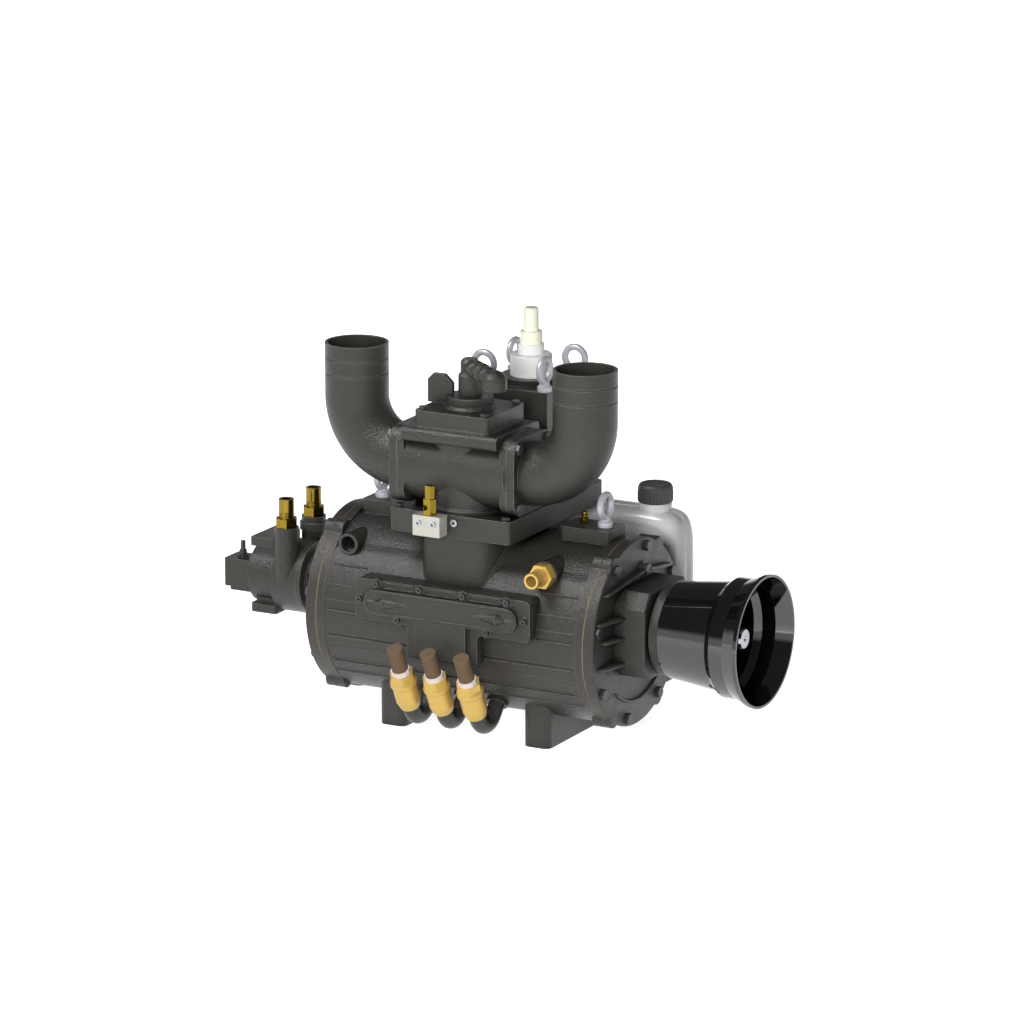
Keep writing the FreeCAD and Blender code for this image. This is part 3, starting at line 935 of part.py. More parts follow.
for low in ("pump_low", "pump_high - 14"):
    pump_back.append(slab("pump_flange", ("-pump_end", "-pump_split"), ("-42", "42"), (low, f"{low} + 14"), "6"))
pump_back.append(block("pump_web", ("-pump_end + 8", "-pump_split"), ("-34", "34"), ("pump_low + 6", "pump_high - 6")))
pump_back.append(rod("box_neck", "18", "box_end - box_depth - pump_end", ("-pump_end", "0", "box_middle"), "-X"))
gear_room = rod("gear_room", "34", f"{gear_end} - ({gear_start})", (f"-({gear_start})", "0", shaft_z), "-X")
shaft_room = rod("shaft_room", "9 + running_gap", f"{gear_start} - pump_split + 1", ("1 - pump_split", "0", shaft_z), "-X")
node("coolant_pump_cover", cut("pump_back_cut", join("pump_back_solid", *pump_back), gear_room, shaft_room))
impeller_hub = turned("impeller_hub", [("0", "0.5"), ("9", "0.5"), ("9", f"{gear_start} - ({shaft_tip}) + 1"),
                      ("30", f"{gear_start} - ({shaft_tip}) + 1"), ("30", f"{gear_start} - ({shaft_tip}) + 5"),
                      ("12", f"{gear_start} - ({shaft_tip}) + 9"), ("12", f"{gear_end} - ({shaft_tip}) - 2"),
                      ("0", f"{gear_end} - ({shaft_tip}) - 2")], (f"-({shaft_tip})", "0", shaft_z), "-X")
impeller_blade = block("impeller_blade", ("10", "31"), ("-1.5", "1.5"),
                       (f"{gear_start} - ({shaft_tip}) + 3", f"{gear_end} - ({shaft_tip}) - 4"))
impeller_blades = [copy("impeller_blade_copy", impeller_blade, (f"-({shaft_tip})", "0", shaft_z),
                        TURNS["-X"].multiply(Rotation(Vector(0, 0, 1), angle))) for angle in around(6)]
node("coolant_impeller", join("impeller_solid", impeller_hub, *impeller_blades))
node("port_fittings", group("port_fitting_set", fittings))
box_x = ("-box_end", "box_depth - box_end")
node("control_box", join("control_box_solid", block("control_body", box_x, ("-22", "22"), ("box_middle - 20", "box_middle + 27")),
                         block("control_foot", ("8 - box_end", "box_depth - box_end"), ("-18", "18"), ("box_middle - 27", "box_middle - 20")),
                         rod("control_collar", "9", "4", ("22 - box_end", "0", "box_middle + 27"))))
node("control_nipple", join("control_nipple_solid", hexagon("control_hex", "12", "7", ("22 - box_end", "0", "box_middle + 31")),
                            rod("control_tip", "4", "22", ("22 - box_end", "0", "box_middle + 31"))))

doc.recompute()
for item in doc.Objects:
    if "Invalid" in item.State or "Error" in item.State:
        raise RuntimeError(f"{item.Name} failed: {item.getStatusString()}")
os.makedirs("parts", exist_ok=True)
for piece in NODES:
    if piece.Shape.isNull() or not piece.Shape.isValid():
        raise RuntimeError(f"{piece.Label} has no valid shape")
    piece.Shape.exportStep(f"parts/{piece.Label}.step")
print(len(NODES), "sub-parts written")
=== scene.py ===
# %% [markdown]
# A rotary vane vacuum pump, dressed for a studio picture.
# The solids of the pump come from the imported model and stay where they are. This file gives them
# their finishes, adds the moulded, cast and threaded forms that look best as computed surfaces, and
# sets the camera, the floor and the light. Lengths are in metres, in the pump's own frame: X runs
# along the shaft towards the drive end, -Y is the front and Z is up.

# %% Load the frame
import json
import math

import bpy
import numpy as np
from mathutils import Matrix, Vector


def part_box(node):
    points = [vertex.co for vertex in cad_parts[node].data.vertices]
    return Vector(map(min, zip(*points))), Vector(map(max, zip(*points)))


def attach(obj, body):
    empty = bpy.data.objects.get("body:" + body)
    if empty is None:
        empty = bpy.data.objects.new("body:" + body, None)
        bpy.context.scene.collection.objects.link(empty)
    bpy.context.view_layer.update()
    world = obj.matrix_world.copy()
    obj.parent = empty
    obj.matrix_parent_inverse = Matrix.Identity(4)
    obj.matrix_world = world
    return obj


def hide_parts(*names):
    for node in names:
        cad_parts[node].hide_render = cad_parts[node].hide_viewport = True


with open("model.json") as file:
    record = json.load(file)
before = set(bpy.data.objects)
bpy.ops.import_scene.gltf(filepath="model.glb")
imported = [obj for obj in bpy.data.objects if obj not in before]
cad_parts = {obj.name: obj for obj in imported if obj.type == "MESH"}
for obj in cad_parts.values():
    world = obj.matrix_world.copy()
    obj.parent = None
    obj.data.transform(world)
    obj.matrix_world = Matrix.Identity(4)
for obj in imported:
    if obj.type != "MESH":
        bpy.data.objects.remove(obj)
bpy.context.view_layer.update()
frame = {"nodes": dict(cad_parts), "record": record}
nodes = frame["nodes"]
print("nodes loaded:", len(nodes))

# %% [markdown]
# ## The camera
# The photograph has almost no perspective, so a long lens stands far away. The view comes from the
# front right, a little above, and one pixel of the picture covers about 1.59 mm of the pump.

# %% Camera
AZIMUTH = math.radians(28.5)
ELEVATION = math.radians(14.5)
VIEW_WIDTH = 1.628
LENS = 200.0
SENSOR = 36.0
FAR_LIMIT = 40.0
TARGET = np.array([0.0344, 0.0, 0.3509])

camera_data = bpy.data.cameras.new("camera")
camera_data.lens = LENS
camera_data.sensor_width = SENSOR
camera_data.clip_end = FAR_LIMIT
camera = bpy.data.objects.new("camera", camera_data)
bpy.context.scene.collection.objects.link(camera)
back = np.array([math.sin(AZIMUTH) * math.cos(ELEVATION), -math.cos(AZIMUTH) * math.cos(ELEVATION),
                 math.sin(ELEVATION)])
distance = VIEW_WIDTH * LENS / SENSOR
camera.location = TARGET + back * distance
camera.rotation_euler = (math.pi / 2 - ELEVATION, 0.0, AZIMUTH)
bpy.context.scene.camera = camera
print("camera distance:", round(distance, 2))

# %% [markdown]
# ## Building a material from nodes
# Every finish below is a small node tree. These helpers add one node, or one link, at a time, so a
# material reads as a list of what feeds what. An effect that several finishes share is a node group
# with named sockets, made once.

# %% Node helpers
FLOAT = "NodeSocketFloat"
VECTOR = "NodeSocketVector"


def add(tree, kind, **settings):
    """Add one node; its attributes come by name, its input sockets as a dict called values."""
    values = settings.pop("values", {})
    made = tree.nodes.new(kind)
    for name, setting in settings.items():
        setattr(made, name, setting)
    for socket, number in values.items():
        made.inputs[socket].default_value = number
    return made


def wire(tree, source, out, target, into):
    """Link one output socket of a node to one input socket of another."""
    tree.links.new(source.outputs[out], target.inputs[into])


def group_tree(name, inputs, outputs):
    """A node group with named sockets, given as (name, socket type, default) and (name, socket type)."""
    tree = bpy.data.node_groups.new(name, "ShaderNodeTree")
    for label, kind, default in inputs:
        socket = tree.interface.new_socket(label, in_out="INPUT", socket_type=kind)
        socket.default_value = default
    for label, kind in outputs:
        tree.interface.new_socket(label, in_out="OUTPUT", socket_type=kind)
    return tree, tree.nodes.new("NodeGroupInput"), tree.nodes.new("NodeGroupOutput")


def empty_tree(owner):
    """Switch on the nodes of a material or a world and clear them."""
    owner.use_nodes = True
    owner.node_tree.nodes.clear()
    return owner.node_tree


print("socket types for groups:", FLOAT, VECTOR)

# %% [markdown]
# ## Cast grain
# Sand casting leaves a skin of small pits and soft lumps that paint follows. Fine noise makes the
# pits and coarser noise the lumps; both go out as one height, and the coarse one also as a mottle
# that shifts colour and gloss a little, as thin and thick paint do.

# %% Cast grain group
def make_cast_grain():
    """Height = fine noise and coarse noise mixed by the share Lumps; Mottle = the coarse noise alone."""
    tree, source, sink = group_tree("cast_grain", [("Scale", FLOAT, 260.0), ("Lumps", FLOAT, 0.5)],
                                    [("Height", FLOAT), ("Mottle", FLOAT)])
    place = add(tree, "ShaderNodeTexCoord")
    fine = add(tree, "ShaderNodeTexNoise", values={"Detail": 3.0, "Roughness": 0.6})
    coarse = add(tree, "ShaderNodeTexNoise", values={"Scale": 38.0, "Detail": 4.0, "Roughness": 0.55})
    mix = add(tree, "ShaderNodeMix", data_type="FLOAT")
    wire(tree, place, "Object", fine, "Vector")
    wire(tree, place, "Object", coarse, "Vector")
    wire(tree, source, "Scale", fine, "Scale")
    wire(tree, source, "Lumps", mix, "Factor")
    wire(tree, fine, "Fac", mix, "A")
    wire(tree, coarse, "Fac", mix, "B")
    wire(tree, mix, "Result", sink, "Height")
    wire(tree, coarse, "Fac", sink, "Mottle")
    return tree


CAST_GRAIN = make_cast_grain()
print("cast grain nodes:", len(CAST_GRAIN.nodes))

# %% [markdown]
# ## Worn and highlighted edges
# Paint thins and metal brightens where an edge is handled, and the lighter edge colour is also a
# painted highlight. A bevel's normal turns away from the flat face's normal only near an edge, so the
# angle between them is a mask of the edges. The same rounded normal also gives each edge the small
# highlight of a real, slightly soft corner.

# %% Edge group
def make_edges():
    """Mask of wear and painted highlight = Wear and Highlight * spots * the turn of the bevel's normal;
    Normal = the bevel's normal.
    """
    tree, source, sink = group_tree("soft_edges", [("Radius", FLOAT, 0.0012), ("Wear and Highlight", FLOAT, 0.5)],
                                    [("Mask", FLOAT), ("Normal", VECTOR)])
    rounded = add(tree, "ShaderNodeBevel", samples=4)
    flat = add(tree, "ShaderNodeNewGeometry")
    dot = add(tree, "ShaderNodeVectorMath", operation="DOT_PRODUCT")
    turn = add(tree, "ShaderNodeMapRange",
               values={"From Min": 0.99, "From Max": 0.80, "To Min": 0.0, "To Max": 1.0})
    spots = add(tree, "ShaderNodeTexNoise", values={"Scale": 90.0, "Detail": 3.0})
    broken = add(tree, "ShaderNodeMath", operation="MULTIPLY")
    amount = add(tree, "ShaderNodeMath", operation="MULTIPLY")
    place = add(tree, "ShaderNodeTexCoord")
    wire(tree, place, "Object", spots, "Vector")
    wire(tree, source, "Radius", rounded, "Radius")
    wire(tree, rounded, "Normal", dot, 0)
    wire(tree, flat, "Normal", dot, 1)
    wire(tree, dot, "Value", turn, "Value")
    wire(tree, turn, "Result", broken, 0)
    wire(tree, spots, "Fac", broken, 1)
    wire(tree, broken, "Value", amount, 0)
    wire(tree, source, "Wear and Highlight", amount, 1)
    wire(tree, amount, "Value", sink, "Mask")
    wire(tree, rounded, "Normal", sink, "Normal")
    return tree


EDGES = make_edges()
print("soft edge nodes:", len(EDGES.nodes))

# %% [markdown]
# ## Painted shade in creases
# Painted shade darkens the base colour in the corners of a casting, so its seams read as dark lines. The
# share of open sky over a point, within about two centimetres, tells how deep in a corner it lies.

# %% Painted crease shade group
def make_crease_shade():
    """Painted shade: the share of the colour that is kept, 1 in the open, falling to 1 - Depth in a tight
    corner.
    """
    tree, source, sink = group_tree("painted_crease_shade", [("Reach", FLOAT, 0.022), ("Depth", FLOAT, 0.5)],
                                    [("Share", FLOAT)])
    sky = add(tree, "ShaderNodeAmbientOcclusion", samples=6)
    least = add(tree, "ShaderNodeMath", operation="SUBTRACT", values={0: 1.0})
    share = add(tree, "ShaderNodeMapRange", values={"From Min": 0.30, "From Max": 0.92, "To Max": 1.0})
    wire(tree, source, "Reach", sky, "Distance")
    wire(tree, source, "Depth", least, 1)
    wire(tree, sky, "AO", share, "Value")
    wire(tree, least, "Value", share, "To Min")
    wire(tree, share, "Result", sink, "Share")
    return tree


CREASE_SHADE = make_crease_shade()
print("crease nodes:", len(CREASE_SHADE.nodes))

# %% [markdown]
# ## One recipe for painted and metal finishes
# Castings, bolts, brass and plastics differ in colour, gloss, metal and how coarse their grain is.
# One function takes those as numbers: grain feeds the bump, the mottle shifts colour and roughness
# a little, the edge mask blends in an edge colour that is partly wear and partly a painted highlight,
# and painted shade darkens the creases where it is asked for.

# %% Finish recipe
COAT_ROUGHNESS = 0.08
SMOOTHEST, ROUGHEST = 0.88, 1.14


def opaque(colour):
    """The colour with an alpha of 1."""
    return (*colour, 1.0)


def finish(name, colour, edge_colour_wear_and_highlight, rough, metal=0.0, grain=260.0, lumps=0.5, depth=0.0002, edge_amount_wear_and_highlight=0.5,
           radius=0.0012, mottle=0.25, coat=0.0, specular=0.5, crease=0.0):
    """A material from its colour, the colour of its edges (wear and painted highlight) and its roughness.

    grain, lumps and depth set the bump; the edge amount and radius set the edges, whose colour is partly
    wear and partly a painted highlight; mottle is the share by which the colour shifts up and down, and
    crease the share that it loses in a tight corner as painted shade.
    """
    material = bpy.data.materials.new(name)
    tree = empty_tree(material)
    out = add(tree, "ShaderNodeOutputMaterial")
    shader = add(tree, "ShaderNodeBsdfPrincipled",
                 values={"Metallic": metal, "Coat Weight": coat, "Coat Roughness": COAT_ROUGHNESS,
                         "Specular IOR Level": specular})
    cast = add(tree, "ShaderNodeGroup", node_tree=CAST_GRAIN, values={"Scale": grain, "Lumps": lumps})
    edge = add(tree, "ShaderNodeGroup", node_tree=EDGES, values={"Radius": radius, "Wear and Highlight": edge_amount_wear_and_highlight})
    shade = add(tree, "ShaderNodeMix", data_type="RGBA",
                values={"A": opaque(c * (1.0 - mottle) for c in colour),
                        "B": opaque(min(1.0, c * (1.0 + mottle)) for c in colour)})
    skin = add(tree, "ShaderNodeMix", data_type="RGBA", values={"B": opaque(edge_colour_wear_and_highlight)})
    gloss = add(tree, "ShaderNodeMapRange",
                values={"From Min": 0.3, "From Max": 0.7, "To Min": rough * SMOOTHEST,
                        "To Max": min(1.0, rough * ROUGHEST)})
    bump = add(tree, "ShaderNodeBump", values={"Strength": 1.0, "Distance": depth})
    wire(tree, cast, "Mottle", shade, "Factor")
    wire(tree, shade, "Result", skin, "A")
    # The edge colour blended in here is partly wear and partly a painted highlight.
    wire(tree, edge, "Mask", skin, "Factor")
    # Painted shade: the colour is multiplied down in tight corners and seams.
    if crease:
        dim = add(tree, "ShaderNodeMix", data_type="RGBA", blend_type="MULTIPLY", values={"Factor": 1.0})
        corner_shade = add(tree, "ShaderNodeGroup", node_tree=CREASE_SHADE, values={"Depth": crease})
        wire(tree, skin, "Result", dim, "A")
        wire(tree, corner_shade, "Share", dim, "B")
        skin = dim
    wire(tree, skin, "Result", shader, "Base Color")
    wire(tree, cast, "Mottle", gloss, "Value")
    wire(tree, gloss, "Result", shader, "Roughness")
    wire(tree, cast, "Height", bump, "Height")
    wire(tree, edge, "Normal", bump, "Normal")
    wire(tree, bump, "Normal", shader, "Normal")
    wire(tree, shader, "BSDF", out, "Surface")
    return material


print("groups in every finish:", CAST_GRAIN.name, EDGES.name)

# %% [markdown]
# ## The pump's finishes
# The castings wear thick black paint, coarse as the sand they were poured in. The guard is smooth and
# glossy, the check valves are yellow brass, the small fittings darker brass, and the brown filters are
# sintered, the roughest of all. Each finish has the name of the slot that it fills.

# %% Finishes
# In each recipe the edge colour is partly wear and partly a painted highlight, and crease is the share of
# painted shade in tight corners.
RECIPES = {
    "painted_casting": dict(
        colour=(0.034, 0.032, 0.028), edge_colour_wear_and_highlight=(0.30, 0.29, 0.27), rough=0.33, grain=330.0, lumps=0.25,
        depth=0.0020, edge_amount_wear_and_highlight=1.5, radius=0.0017, mottle=0.20, specular=0.45, crease=0.80),
    "black_bolt": dict(
        colour=(0.040, 0.038, 0.036), edge_colour_wear_and_highlight=(0.20, 0.195, 0.19), rough=0.34, grain=500.0,
        depth=0.0001, edge_amount_wear_and_highlight=0.9, radius=0.0008, crease=0.5),
    "steel": dict(
        colour=(0.46, 0.47, 0.50), edge_colour_wear_and_highlight=(0.75, 0.76, 0.80), rough=0.28, metal=1.0, grain=700.0,
        depth=0.00006, radius=0.0005, mottle=0.12),
    "zinc": dict(
        colour=(0.51, 0.52, 0.56), edge_colour_wear_and_highlight=(0.80, 0.81, 0.85), rough=0.40, metal=0.25, grain=420.0,
        depth=0.0002, radius=0.001, mottle=0.10),
    "gloss_black": dict(
        colour=(0.0040, 0.0040, 0.0042), edge_colour_wear_and_highlight=(0.02, 0.02, 0.021), rough=0.05, grain=60.0, lumps=1.0,
        depth=0.00002, edge_amount_wear_and_highlight=0.2, mottle=0.05, specular=1.0),
    "brass_dark": dict(
        colour=(0.27, 0.185, 0.028), edge_colour_wear_and_highlight=(0.60, 0.45, 0.12), rough=0.27, metal=1.0, grain=600.0,
        depth=0.00006, radius=0.0006, mottle=0.2),
    "brass_yellow": dict(
        colour=(0.67, 0.45, 0.115), edge_colour_wear_and_highlight=(0.88, 0.70, 0.34), rough=0.40, metal=0.40, grain=500.0,
        depth=0.0001, radius=0.0008, mottle=0.07),
    "collar_white": dict(
        colour=(0.82, 0.73, 0.72), edge_colour_wear_and_highlight=(0.92, 0.86, 0.85), rough=0.45, grain=300.0,
        depth=0.00005, radius=0.0006, mottle=0.04),
    "sintered": dict(
        colour=(0.175, 0.118, 0.074), edge_colour_wear_and_highlight=(0.24, 0.17, 0.11), rough=0.85, grain=1400.0, lumps=0.05,
        depth=0.0006, edge_amount_wear_and_highlight=0.3, mottle=0.2, specular=0.25),
    "relief_white": dict(
        colour=(0.90, 0.90, 0.885), edge_colour_wear_and_highlight=(0.94, 0.94, 0.93), rough=0.40, depth=0.00005, mottle=0.03),
    "relief_pale": dict(
        colour=(0.95, 0.945, 0.78), edge_colour_wear_and_highlight=(0.97, 0.96, 0.84), rough=0.40, depth=0.00005, mottle=0.03),
    "aluminium": dict(
        colour=(0.53, 0.52, 0.46), edge_colour_wear_and_highlight=(0.74, 0.74, 0.70), rough=0.38, metal=0.15, grain=800.0,
        depth=0.00006, radius=0.0007, mottle=0.06),
    "tank_white": dict(
        colour=(0.62, 0.62, 0.63), edge_colour_wear_and_highlight=(0.72, 0.72, 0.73), rough=0.22, grain=30.0, lumps=1.0,
        depth=0.0004, radius=0.002, coat=0.3, mottle=0.05),
    "cap_grey": dict(
        colour=(0.058, 0.057, 0.054), edge_colour_wear_and_highlight=(0.11, 0.11, 0.105), rough=0.5, grain=500.0,
        depth=0.0001, radius=0.0006, mottle=0.1),
    "gasket": dict(
        colour=(0.40, 0.24, 0.06), edge_colour_wear_and_highlight=(0.5, 0.34, 0.12), rough=0.7, depth=0.0001, radius=0.0002,
        mottle=0.1),
    "rotor_iron": dict(
        colour=(0.22, 0.22, 0.22), edge_colour_wear_and_highlight=(0.45, 0.45, 0.45), rough=0.35, metal=0.9, grain=500.0,
        depth=0.0001, mottle=0.15),
    "vane_resin": dict(
        colour=(0.15, 0.09, 0.05), edge_colour_wear_and_highlight=(0.22, 0.15, 0.09), rough=0.6, grain=300.0, depth=0.0001),
}
MATERIALS = {name: finish(name, **recipe) for name, recipe in RECIPES.items()}
CASTING = "painted_casting"
print("finishes:", len(MATERIALS))

# %% [markdown]
# ## Dress the frame
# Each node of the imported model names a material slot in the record. The node's mesh keeps its
# shape; only the material in its slot is exchanged for the finish of the same name.

# %% Finishes on the nodes
for part in frame["record"]["subparts"]:
    piece = nodes[part["node"]]
    piece.data.materials.clear()
    piece.data.materials.append(MATERIALS[part["material_slot"]])

# %% [markdown]
# ## Surfaces from two parameters
# A computed surface is a grid of points: one parameter runs along the shape and the other round it.
# The helper below joins neighbouring grid points with quads and closes the seam where the round
# parameter comes back to its start. An end closes by a fan round a centre point, or by a strip where
# the section is a thin bent band, because a fan would leave such a band.

# %% Grid to mesh
def outward(mesh):
    """Turn every face of a closed mesh outwards, by the sign of the volume sum of a . (b x c)."""
    spots = np.empty(len(mesh.vertices) * 3)
    mesh.vertices.foreach_get("co", spots)
    mesh.calc_loop_triangles()
    corners = np.empty(len(mesh.loop_triangles) * 3, dtype=np.int32)
    mesh.loop_triangles.foreach_get("vertices", corners)
    a, b, c = (spots.reshape(-1, 3)[corners.reshape(-1, 3)[:, n]] for n in range(3))
    if np.einsum("ij,ij->i", a, np.cross(b, c)).sum() < 0.0:
        mesh.flip_normals()


def grid_piece(name, points, slot, body="root", loop=False, thin=False, crease=38.0):
    """A closed mesh from points[i, j]: i runs along the shape, j round it.

    With loop the last row joins the first again. With thin each end closes by a strip between the
    two halves of its row; otherwise both ends close on their mean point. Edges that bend by more
    than crease degrees stay sharp.
    """
    rows, around, _ = points.shape
    vertices = points.reshape(-1, 3)
    i, j = np.meshgrid(np.arange(rows if loop else rows - 1), np.arange(around), indexing="ij")
    beside = (j + 1) % around
    ahead = (i + 1) % rows
    quads = np.stack([i * around + j, i * around + beside, ahead * around + beside, ahead * around + j],
                     axis=-1)
    faces = quads.reshape(-1, 4).tolist()
    if thin:
        j = np.arange(around // 2 - 1)
        strip = np.stack([j, j + 1, around - 2 - j, around - 1 - j], axis=-1)
        faces += strip[:, ::-1].tolist() + (strip + (rows - 1) * around).tolist()
    elif not loop:
        for row, turn in ((0, -1), (rows - 1, 1)):
            centre = len(vertices)
            vertices = np.vstack([vertices, points[row].mean(axis=0)])
            first = row * around + np.arange(around)
            second = row * around + (np.arange(around) + 1) % around
            fan = np.stack([first, second, np.full(around, centre)], axis=-1)[:, ::turn]
            faces += fan.tolist()
    mesh = bpy.data.meshes.new(name)
    mesh.from_pydata(vertices.tolist(), [], faces)
    mesh.validate()
    outward(mesh)
    mesh.polygons.foreach_set("use_smooth", [True] * len(mesh.polygons))
    mesh.set_sharp_from_angle(angle=math.radians(crease))
    mesh.materials.append(MATERIALS[slot])
    piece = bpy.data.objects.new(name, mesh)
    bpy.context.scene.collection.objects.link(piece)
    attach(piece, body)
    return piece


print("meshes before the computed pieces:", len(bpy.data.meshes))

# %% [markdown]
# ## Turned shapes
# Necks, caps and threads are shapes of a lathe: a profile of radius against height goes round an
# upright axis. An extra radius that depends on the angle gives what a plain lathe can't, grip ribs
# and threads.

# %% Turned points
FULL_TURN = 2.0 * math.pi


def turned_points(profile, centre, steps=96, wave=None):
    """Points (x - r sin t, y + r cos t, z + h) round an upright axis, for each (radius r, height h).

    wave(angle, height) gives an extra radius, for ribs and threads.
    """
    angle = np.linspace(0.0, FULL_TURN, steps, endpoint=False)
    radius, height = np.array(profile).T[:, :, None]
    if wave is not None:
        radius = radius + wave(angle, height)
    x, y, z = centre
    return np.stack(np.broadcast_arrays(x - radius * np.sin(angle), y + radius * np.cos(angle), z + height),
                    axis=-1)


print("one turned ring:", turned_points([(0.01, 0.0)], (0.0, 0.0, 0.0)).shape)

# %% [markdown]
# ## The moulded oil tank
# The tank is blow-moulded: soft corners everywhere, a swollen front with a raised rim band, and no
# flat face. Its outline is a rounded rectangle written as a superellipse, |x|^n + |z|^n = 1, carried
# from the front face to the back. The outline shrinks near both faces, and the front face sinks
# behind its rim, which makes the band that catches the light in the photograph.

# %% Oil tank
TANK_LOW, TANK_HIGH = (np.array(corner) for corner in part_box("oil_tank"))
TANK_TOP = 0.328
TANK_POWER = 7.0
LEAST_SCALE = 0.02
FRONT_STATIONS = [(0.02, 0.0045), (0.45, 0.0040), (0.74, 0.0042), (0.80, 0.0030), (0.83, 0.0004),
                  (0.86, 0.0), (0.90, 0.0006), (0.95, 0.0045), (0.985, 0.012), (1.0, 0.022),
                  (1.0, 0.030), (0.992, 0.034)]
REAR_STATIONS = [(0.992, 0.034), (1.0, 0.030), (1.0, 0.022), (0.985, 0.012), (0.95, 0.0045),
                 (0.90, 0.0006), (0.80, 0.003), (0.45, 0.004), (0.02, 0.0045)]


def superellipse(angle, power):
    """Radius in the direction of each angle: (|cos t|^n + |sin t|^n)^(-1/n)."""
    return (np.abs(np.cos(angle)) ** power + np.abs(np.sin(angle)) ** power) ** (-1.0 / power)


def tank_surface(steps=160):
    """Superellipse outlines at stations of (scale, depth below the nearer face), front to back."""
    half_x, half_z = (TANK_HIGH[0] - TANK_LOW[0]) / 2, (TANK_TOP - TANK_LOW[2]) / 2
    middle_x, middle_z = (TANK_LOW[0] + TANK_HIGH[0]) / 2, (TANK_LOW[2] + TANK_TOP) / 2
    deep = TANK_HIGH[1] - TANK_LOW[1]
    stations = FRONT_STATIONS + [(scale, deep - depth) for scale, depth in REAR_STATIONS]
    scale, depth = np.array(stations).T[:, :, None]
    angle = np.linspace(0.0, FULL_TURN, steps, endpoint=False)
    radius = superellipse(angle, TANK_POWER)
    inset = (1.0 - scale) * min(half_x, half_z)
    x = middle_x + radius * np.cos(angle) * np.maximum(half_x - inset, half_x * LEAST_SCALE)
    z = middle_z + radius * np.sin(angle) * np.maximum(half_z - inset, half_z * LEAST_SCALE)
    return np.stack(np.broadcast_arrays(x, TANK_LOW[1] + depth, z), axis=-1)


tank = grid_piece("tank_shell", tank_surface(), "tank_white")
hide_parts("oil_tank")
print("tank vertices:", len(tank.data.vertices))

# %% [markdown]
# ## The tank's neck
# The neck stands on the tank's shoulder and carries a short collar under the cap. It is a separate
# turned piece that starts inside the shell, so no gap shows between the two.

# %% Tank neck
NECK_X, NECK_Y = 0.182, 0.212
NECK_SUNK = 0.004
NECK_PROFILE = [(0.0235, 0.0), (0.0262, 0.0), (0.0268, 0.002), (0.0268, 0.0140), (0.0262, 0.0148),
                (0.0215, 0.0148), (0.0215, 0.0290), (0.0180, 0.0290), (0.0180, 0.0)]
neck_points = turned_points(NECK_PROFILE, (NECK_X, NECK_Y, TANK_TOP - NECK_SUNK))
grid_piece("tank_neck", neck_points, "tank_white")
print("neck grid:", neck_points.shape[:2])

# %% [markdown]
# ## The ribbed cap
# A moulded cap has soft grip ribs. Its radius is the cap's radius plus a raised cosine of the angle,
# faded out at the top edge, so the ribs run into the crown as they do on the real one.

# %% Tank cap
CAP_LOW, CAP_HIGH = (np.array(corner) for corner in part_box("oil_tank_cap"))
CAP_RIBS = 30
RIB_RISE = 0.0011
CROWN, CROWN_FADE, FOOT_FADE = 0.004, 0.003, 0.002
CAP_PROFILE = [(0.0222, 0.0235), (0.0222, 0.0), (0.0268, 0.0), (0.0275, 0.0008), (0.0277, 0.003),
               (0.0277, 0.010), (0.0277, 0.018), (0.0276, 0.024), (0.0272, 0.0265), (0.0262, 0.0285),
               (0.0245, 0.0298), (0.0225, 0.0300), (0.0215, 0.0288), (0.0100, 0.0286),
               (0.0004, 0.0286)]
cap_height = CAP_HIGH[2] - CAP_LOW[2]


def grip(angle, height):
    """Extra radius: rise * ((1 + cos(ribs * angle)) / 2)^2, faded out near the foot and the crown."""
    rib = 0.5 + 0.5 * np.cos(CAP_RIBS * angle)
    fade = (np.clip((cap_height - CROWN - height) / CROWN_FADE, 0.0, 1.0)
            * np.clip(height / FOOT_FADE, 0.0, 1.0))
    return RIB_RISE * rib ** 2 * fade


cap_points = turned_points(CAP_PROFILE, (NECK_X, NECK_Y, CAP_LOW[2]), steps=240, wave=grip)
cap = grid_piece("cap_shell", cap_points, "cap_grey", body="tank_cap")
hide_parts("oil_tank_cap")
print("cap height:", round(float(cap_height), 4), "ribs:", CAP_RIBS)

# %% [markdown]
# ## Threads
# The two port fittings on the coolant pump end in pipe threads. A thread is a turned sleeve whose
# radius rises and falls with the height and shifts by one pitch per turn of the angle.

# %% Thread sleeves
PORT_X, PORT_Y, THREAD_FOOT = -0.357, 0.0435, 0.3035
THREAD_RADIUS, THREAD_LENGTH, THREAD_PITCH, THREAD_DEPTH = 0.0129, 0.012, 0.0023, 0.0006
ROWS_PER_TURN = 10


def ridge(angle, height):
    """Extra radius: depth * (triangle wave of (height / pitch - angle / full turn) - 1)."""
    phase = height / THREAD_PITCH - angle / FULL_TURN
    triangle = 2.0 * np.abs(phase - np.floor(phase + 0.5))
    ends = np.clip(np.minimum(height, THREAD_LENGTH - height) / THREAD_PITCH, 0.0, 1.0)
    return THREAD_DEPTH * (triangle * ends - 1.0)


thread_rows = int(THREAD_LENGTH / THREAD_PITCH * ROWS_PER_TURN)
thread_profile = [(THREAD_RADIUS, height) for height in np.linspace(0.0, THREAD_LENGTH, thread_rows)]
for label, y in (("front", -PORT_Y), ("rear", PORT_Y)):
    sleeve = turned_points(thread_profile, (PORT_X, y, THREAD_FOOT), steps=72, wave=ridge)
    grid_piece(f"{label}_port_thread", sleeve, "brass_dark")
print("thread turns:", round(THREAD_LENGTH / THREAD_PITCH, 1))

# %% [markdown]
# ## Raised rims
# The injection manifold has a raised border, soft like everything that comes out of sand, and three
# small ones above it. A centre line runs round each; at each of its points a small half-round section
# stands on the face.

